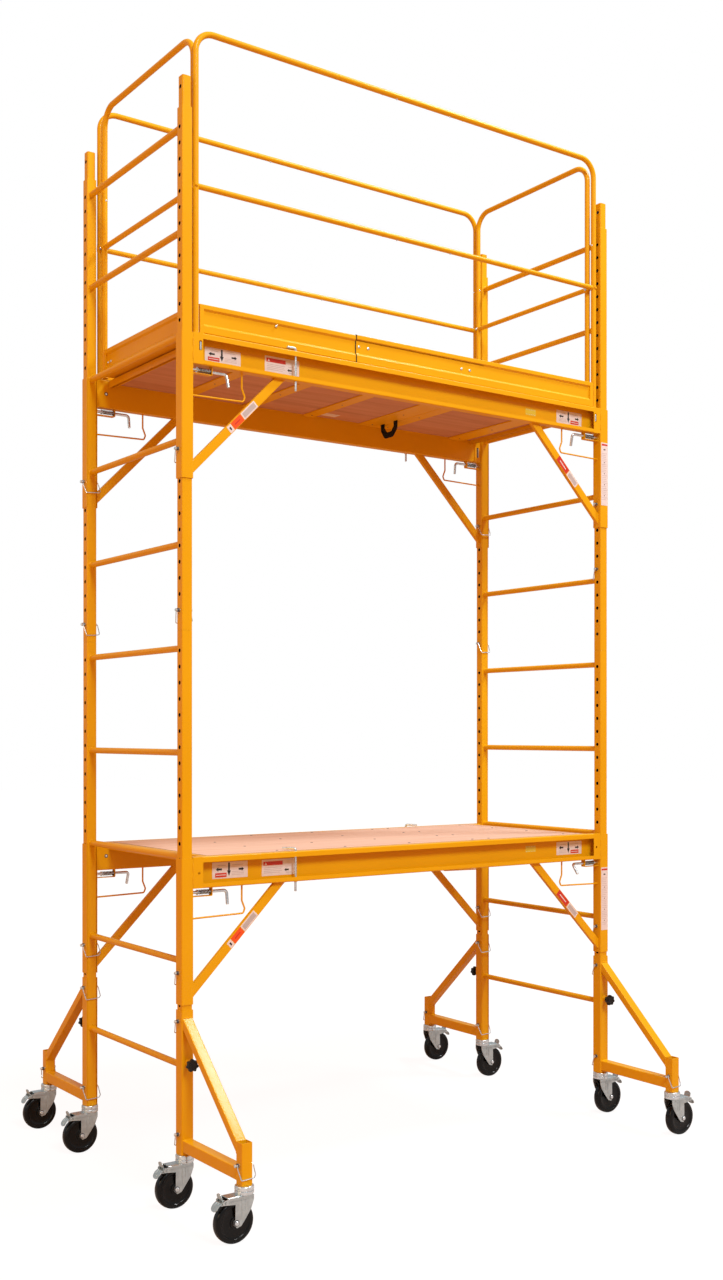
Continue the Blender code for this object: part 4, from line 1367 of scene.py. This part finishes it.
def build_pins():
    """Snap pins through the posts, the platform sleeves and the outriggers."""
    on_sleeve, on_post = bail_pin_mesh(SLEEVE / 2), bail_pin_mesh(POST / 2)
    mirrored = {}
    for mesh in (on_sleeve, on_post):
        other = mesh.copy()
        other.transform(Matrix.Scale(-1, 4, Vector((0, 1, 0))))
        other.flip_normals()
        mirrored[mesh] = other
    for (side, y), (end, x) in product(SIDES, ENDS):
        corner = f"{side}_{end}"
        joint = 5 if corner == "front_right" else 0  # its hole in the upper section
        pins = (
            ("joint", on_post, "tower", hole_height("upper", joint)),
            ("lower_sleeve", on_sleeve, "platform_lower", hole_height("lower", 10)),
            ("upper_sleeve", on_sleeve, "platform_upper", hole_height("upper", 10)),
            ("outrigger_foot", on_sleeve, "tower", hole_height("lower", 0)),
            ("outrigger_head", on_sleeve, "tower", hole_height("lower", 7)),
            ("outer_tube", on_post, "tower", FOOT_Z + OUTER_PIN_RISE),
        )
        for name, mesh, body, z in pins:
            outer = name == "outer_tube"
            reach = y * (HALF_W + OUTRIGGER_REACH * outer)
            shown = mirrored[mesh] if (y < 0) != outer else mesh
            piece(f"snap_pin_{name}_{corner}", shown, body, (x * HALF_L, reach, z))


def build_base():
    """At each corner an outrigger, its knob and two casters."""
    outrigger, knob = outrigger_mesh(), knob_mesh()
    fork, wheel, pedal = fork_mesh(), wheel_mesh(), pedal_mesh()
    knob_z = node_box("knob_front_left")[1].z - KNOB_R
    for (side, y), (end, x) in product(SIDES, ENDS):
        corner = f"{side}_{end}"
        at = Vector((x * HALF_L, y * HALF_W, 0))
        foot = at + Vector((0, 0, FOOT_Z))
        stand_in(f"outrigger_{corner}", outrigger, "tower", foot, half_turn(y))
        name = f"knob_{corner}"
        stand_in(name, knob, name, at + Vector((0, 0, knob_z)), half_turn(y))
        for where, reach in (("inner", 0.0), ("outer", y * OUTRIGGER_REACH)):
            caster = f"{corner}_{where}"
            swivel = at + Vector((0, reach, 0))
            hub = swivel + Vector((x * TRAIL, 0, WHEEL_R))
            pivot = swivel + Vector((-x * PEDAL_X, 0, PEDAL_Z))
            for part, mesh, body, slot, place in (
                ("fork", fork, "swivel", "zinc", swivel),
                ("wheel", wheel, "wheel", "black_rubber", hub),
                ("pedal", pedal, "pedal", "zinc", pivot),
            ):
                name = f"caster_{part}_{caster}"
                stand_in(name, mesh, f"{body}_{caster}", place, half_turn(x))


# Labels: blocks, bars and arrows only

FILM = 0.00022


def film(outline, lift=0):
    """A flat shape of film facing -Y, in X and Z, over the films with a smaller lift."""
    back = -FILM * lift
    return plate(outline, back - FILM, back, "Y")


def arrow(x, z, length, width, direction):
    """A block arrow with its tip at (x, z)."""
    ahead = Vector(direction)
    side = Vector((-ahead.y, ahead.x))
    points = []
    shaft = ((0.42, 0.22), (1, 0.22), (1, -0.22), (0.42, -0.22))
    for back, out in ((0, 0), (0.42, 0.5), *shaft, (0.42, -0.5)):
        points.append(Vector((x, z)) - ahead * length * back + side * width * out)
    return points


def label(name, width, height, corner, ground, *prints):
    """A rounded panel of film with shapes printed on it, each (outline, ink, lift)."""
    steps = 3 if corner > 0.001 else 2
    shape = Shape().add(film(rounded(width, height, corner, steps)), INK[ground])
    for outline, ink, lift in prints:
        shape.add(film(outline, lift), INK[ink])
    return shape.mesh(name, *INKS.values())


def bar(ink, x0, z0, x1, z1, lift=1):
    return rectangle(x0, z0, x1, z1), ink, lift


def arrow_label(red_side):
    """A white panel 132 x 53 mm with arrows to both sides and down, and a red bar."""
    r0, r1 = (-0.055, -0.013) if red_side < 0 else (0.008, 0.050)
    g0, g1 = (0.006, 0.052) if red_side < 0 else (-0.054, -0.013)
    return label(
        "arrow_label", 0.132, 0.053, 0.002, "white",
        (arrow(-0.053, 0.003, 0.023, 0.014, (-1, 0)), "black", 1),
        (arrow(0.052, 0.001, 0.020, 0.014, (1, 0)), "black", 1),
        (arrow(-0.004, -0.0200, 0.0440, 0.014, (0, -1)), "black", 1),
        bar("red", r0, -0.0225, r1, -0.0085),
        bar("white", r0 + 0.003, -0.0165, r1 - 0.003, -0.0140, 2),
        *(bar("grey", g0, z, g1, z + 0.0013) for z in (-0.007, -0.012, -0.017)),
        bar("grey", -0.046, 0.0145, -0.016, 0.0165),
        bar("grey", 0.008, 0.0145, 0.048, 0.0165),
    )


def notice_label():
    """A white panel 134 x 54 mm with a red band and grey bars."""
    lines = ((0.012, -0.001), (0.008, -0.0065), (0.012, -0.012), (0.002, -0.0175))
    return label(
        "notice_label", 0.134, 0.054, 0.002, "white",
        bar("red", -0.061, 0.0075, 0.014, 0.0205),
        ([(-0.057, 0.0095), (-0.047, 0.0095), (-0.052, 0.0180)], "white", 2),
        *(bar("grey", -0.060, z, right, z + 0.0016) for right, z in lines),
        bar("grey", 0.024, 0.0005, 0.044, 0.0020),
        (arrow(0.020, -0.010, 0.018, 0.011, (-1, 0)), "black", 1),
        bar("grey", 0.026, -0.0195, 0.050, -0.0180),
    )


def yellow_label():
    """A small yellow tag 52 x 26 mm with a pale frame of squares."""
    squares = product((-0.0235 + 0.0085 * i for i in range(6)), (-0.0105, 0.0085))
    return label(
        "yellow_label", 0.052, 0.026, 0.001, "yellow",
        *(bar("white", x, z, x + 0.0028, z + 0.0016) for x, z in squares),
        bar("yellow", -0.016, -0.005, 0.016, 0.005),
    )


def sleeve_label():
    """A tall white strip 36 x 245 mm with a red band at its top and grey bars."""
    prints = [bar("red", -0.0150, 0.1110, 0.0165, 0.1175)]
    prints.append((arrow(-0.0060, 0.0955, 0.012, 0.008, (-1, 0)), "black", 1))
    for i in range(26):
        z = 0.080 - 0.0072 * i
        if i % 6 == 5:
            prints.append(bar("black", -0.002, z - 0.0005, 0.002, z + 0.0025))
        else:
            prints.append(bar("grey", -0.0135, z, 0.0135 - 0.002 * (i * 7 % 4), z + 0.0012))
    return label("sleeve_label", 0.0355, 0.245, 0.001, "white", *prints)


def brace_label(*bands):
    """A strip along a brace: bands of (start, end, ink) down from the brace's top end."""
    shape = Shape()
    half = BRACE_W / 2 - 0.0022
    for start, end, ink in bands:
        shape.add(film(rectangle(start, -half, end, half)), INK[ink])
        middle, reach = (start + end) / 2, (end - start) / 2 - 0.005
        if ink != "white":
            mark, along, across = "white" if ink == "red" else "red", reach * 0.7, 0.002
        elif reach > 0.02:
            mark, along, across = "grey", reach, half - 0.004
        else:
            mark, along, across = "black", 0.003, 0.005
        outline = rectangle(middle - along, -across, middle + along, across)
        shape.add(film(outline, 1), INK[mark])
    return shape.mesh("brace_label", *INKS.values())


# Name, X along the rail, share of its full height, and Z below the platform
RAIL_LABELS = {
    "lower": (
        ("arrows_left", -0.748, 1.0, -0.0500),
        ("notice", -0.561, 1.0, -0.0515),
        ("yellow", 0.558, 0.92, -0.0455),
        ("arrows_right", 0.757, 0.94, -0.0515),
    ),
    "upper": (
        ("arrows_left", -0.7745, 0.86, -0.0545),
        ("notice", -0.5495, 1.0, -0.0515),
        ("yellow", 0.558, 0.92, -0.0560),
        ("arrows_right", 0.757, 0.94, -0.0525),
    ),
}
BRACE_LABEL_Z = -0.0985
SLEEVE_LABEL_Z = -0.2555


def build_labels():
    """The labels of each platform's rails and braces, and of its front right sleeve."""
    web = -RAIL_BACK - RAIL_WALL - LIFT
    sheets = {
        "arrows_left": arrow_label(-1),
        "arrows_right": arrow_label(1),
        "notice": notice_label(),
        "yellow": yellow_label(),
    }
    strips = {
        "left": brace_label(
            (0.134, 0.204, "white"), (0.206, 0.255, "vermilion"), (0.257, 0.276, "white")
        ),
        "right": brace_label((0.165, 0.237, "red"), (0.239, 0.303, "white")),
    }
    strip = sleeve_label()
    brace_y = -HALF_W - BRACE_T / 2 - LIFT
    for level in LEVELS:
        body = f"platform_{level}"
        top = PLATFORM_Z[level]
        for side, y in SIDES:
            for name, x, height, z in RAIL_LABELS[level]:
                at = (-y * x, -y * web, top + z)
                shown = sheets[name].copy()
                shown.transform(Matrix.Diagonal((1, 1, height, 1)))
                name = f"label_{name}_{level}_{side}"
                piece(name, shown, body, at, half_turn(y))
            for end, x in ENDS:
                start = (x * (INSIDE - BRACE_REACH), brace_y, BRACE_LABEL_Z)
                slope = Matrix.Rotation((2 - x) * QUARTER_TURN / 2, 4, "Y")
                shown = strips[end].copy()
                shown.transform(Matrix.Translation(start) @ slope)
                name = f"label_brace_{level}_{side}_{end}"
                piece(name, shown, body, (0, 0, top), half_turn(y))
        at = (HALF_L, -HALF_W - SLEEVE / 2 - LIFT, top + SLEEVE_LABEL_Z)
        piece(f"label_sleeve_{level}", strip, body, at)


# Stage


def floor_look():
    """A plain floor that the camera sees almost white and the object sees as warm and pale."""
    look = Look("floor_white", Specular_IOR_Level=0.0, Emission_Color=(1.0, 1.0, 1.0))
    rays = look.node("LightPath").outputs
    tone = look.ramp(look.noise(0.6, 2.0), (0.3, 0.11), (0.7, 0.12))
    rough = look.ramp(look.noise(3.0, 2.0), (0.3, 0.75), (0.7, 0.85))
    lit = look.mix(rays["Is Glossy Ray"], (0.58, 0.33, 0.17), (0.56, 0.68, 0.75))
    shown = look.mix(rays["Is Camera Ray"], lit, tone)
    distance = look.node("VectorMath", {0: look.place}, operation="LENGTH").outputs["Value"]
    limits = {"From Min": 0.8, "From Max": 4.0, "To Min": 0.93, "To Max": 0.99}
    far = look.node("MapRange", {"Value": distance, **limits}).outputs["Result"]
    glow = look.maths("MULTIPLY", far, rays["Is Camera Ray"])
    return look.feed(Base_Color=shown, Roughness=rough, Emission_Strength=glow)


def build_world():
    """White for the camera, pale and neutral in reflections, dim and warm as light."""
    world = bpy.data.worlds.new("studio")
    bpy.context.scene.world = world
    world.use_nodes = True
    nodes, links = world.node_tree.nodes, world.node_tree.links
    rays = nodes.new("ShaderNodeLightPath").outputs
    lit, shown = nodes.new("ShaderNodeMixRGB"), nodes.new("ShaderNodeMixRGB")
    links.new(rays["Is Glossy Ray"], lit.inputs["Fac"])
    lit.inputs["Color1"].default_value = (0.62, 0.225, 0.08, 1.0)
    lit.inputs["Color2"].default_value = (0.47, 0.50, 0.52, 1.0)
    links.new(rays["Is Camera Ray"], shown.inputs["Fac"])
    links.new(lit.outputs["Color"], shown.inputs["Color1"])
    shown.inputs["Color2"].default_value = (1.0, 1.0, 1.0, 1.0)
    links.new(shown.outputs["Color"], nodes["Background"].inputs["Color"])


def build_stage():
    """A pale floor, soft light from the front and above, and the camera."""
    bpy.ops.mesh.primitive_plane_add(size=60.0, location=(0, 0, 0))
    floor = bpy.context.object
    floor.name = "floor"
    floor.data.materials.append(floor_look())
    build_world()

    for name, at, aim, size, power, colour in (
        ("key", (-1.8, -9.5, 10.0), (0, 0, 1.6), 4.0, 900, (1.0, 1.0, 1.0)),
        ("fill", (-5.4, -0.4, 2.8), (0, 0, 1.6), 3.0, 58, (1.0, 0.68, 0.36)),
        ("top", (3.1, -1.9, 7.6), (0, 0, 1.0), 1.2, 260, (1.0, 1.0, 1.0)),
    ):
        light = bpy.data.lights.new(name, "AREA")
        light.shape = "DISK"
        light.size = size
        light.energy = power
        light.color = colour
        lamp = bpy.data.objects.new(name, light)
        lamp.location = at
        lamp.rotation_euler = (Vector(aim) - Vector(at)).to_track_quat("-Z", "Y").to_euler()
        bpy.context.scene.collection.objects.link(lamp)

    camera = bpy.data.cameras.new("camera")
    camera.sensor_width = 36.0
    camera.lens = 39.11
    camera.shift_y = 0.0725
    viewer = bpy.data.objects.new("camera", camera)
    viewer.location = (-3.0076, -4.2597, 1.493)
    viewer.rotation_euler = (math.radians(90), 0, math.radians(-35.41))
    bpy.context.scene.collection.objects.link(viewer)
    bpy.context.scene.camera = viewer
    bpy.context.scene.view_settings.view_transform = "Standard"


build_stage()
build_frames()
build_platforms()
build_lock_pins()
build_guard_cage()
build_base()
build_pins()
build_labels()
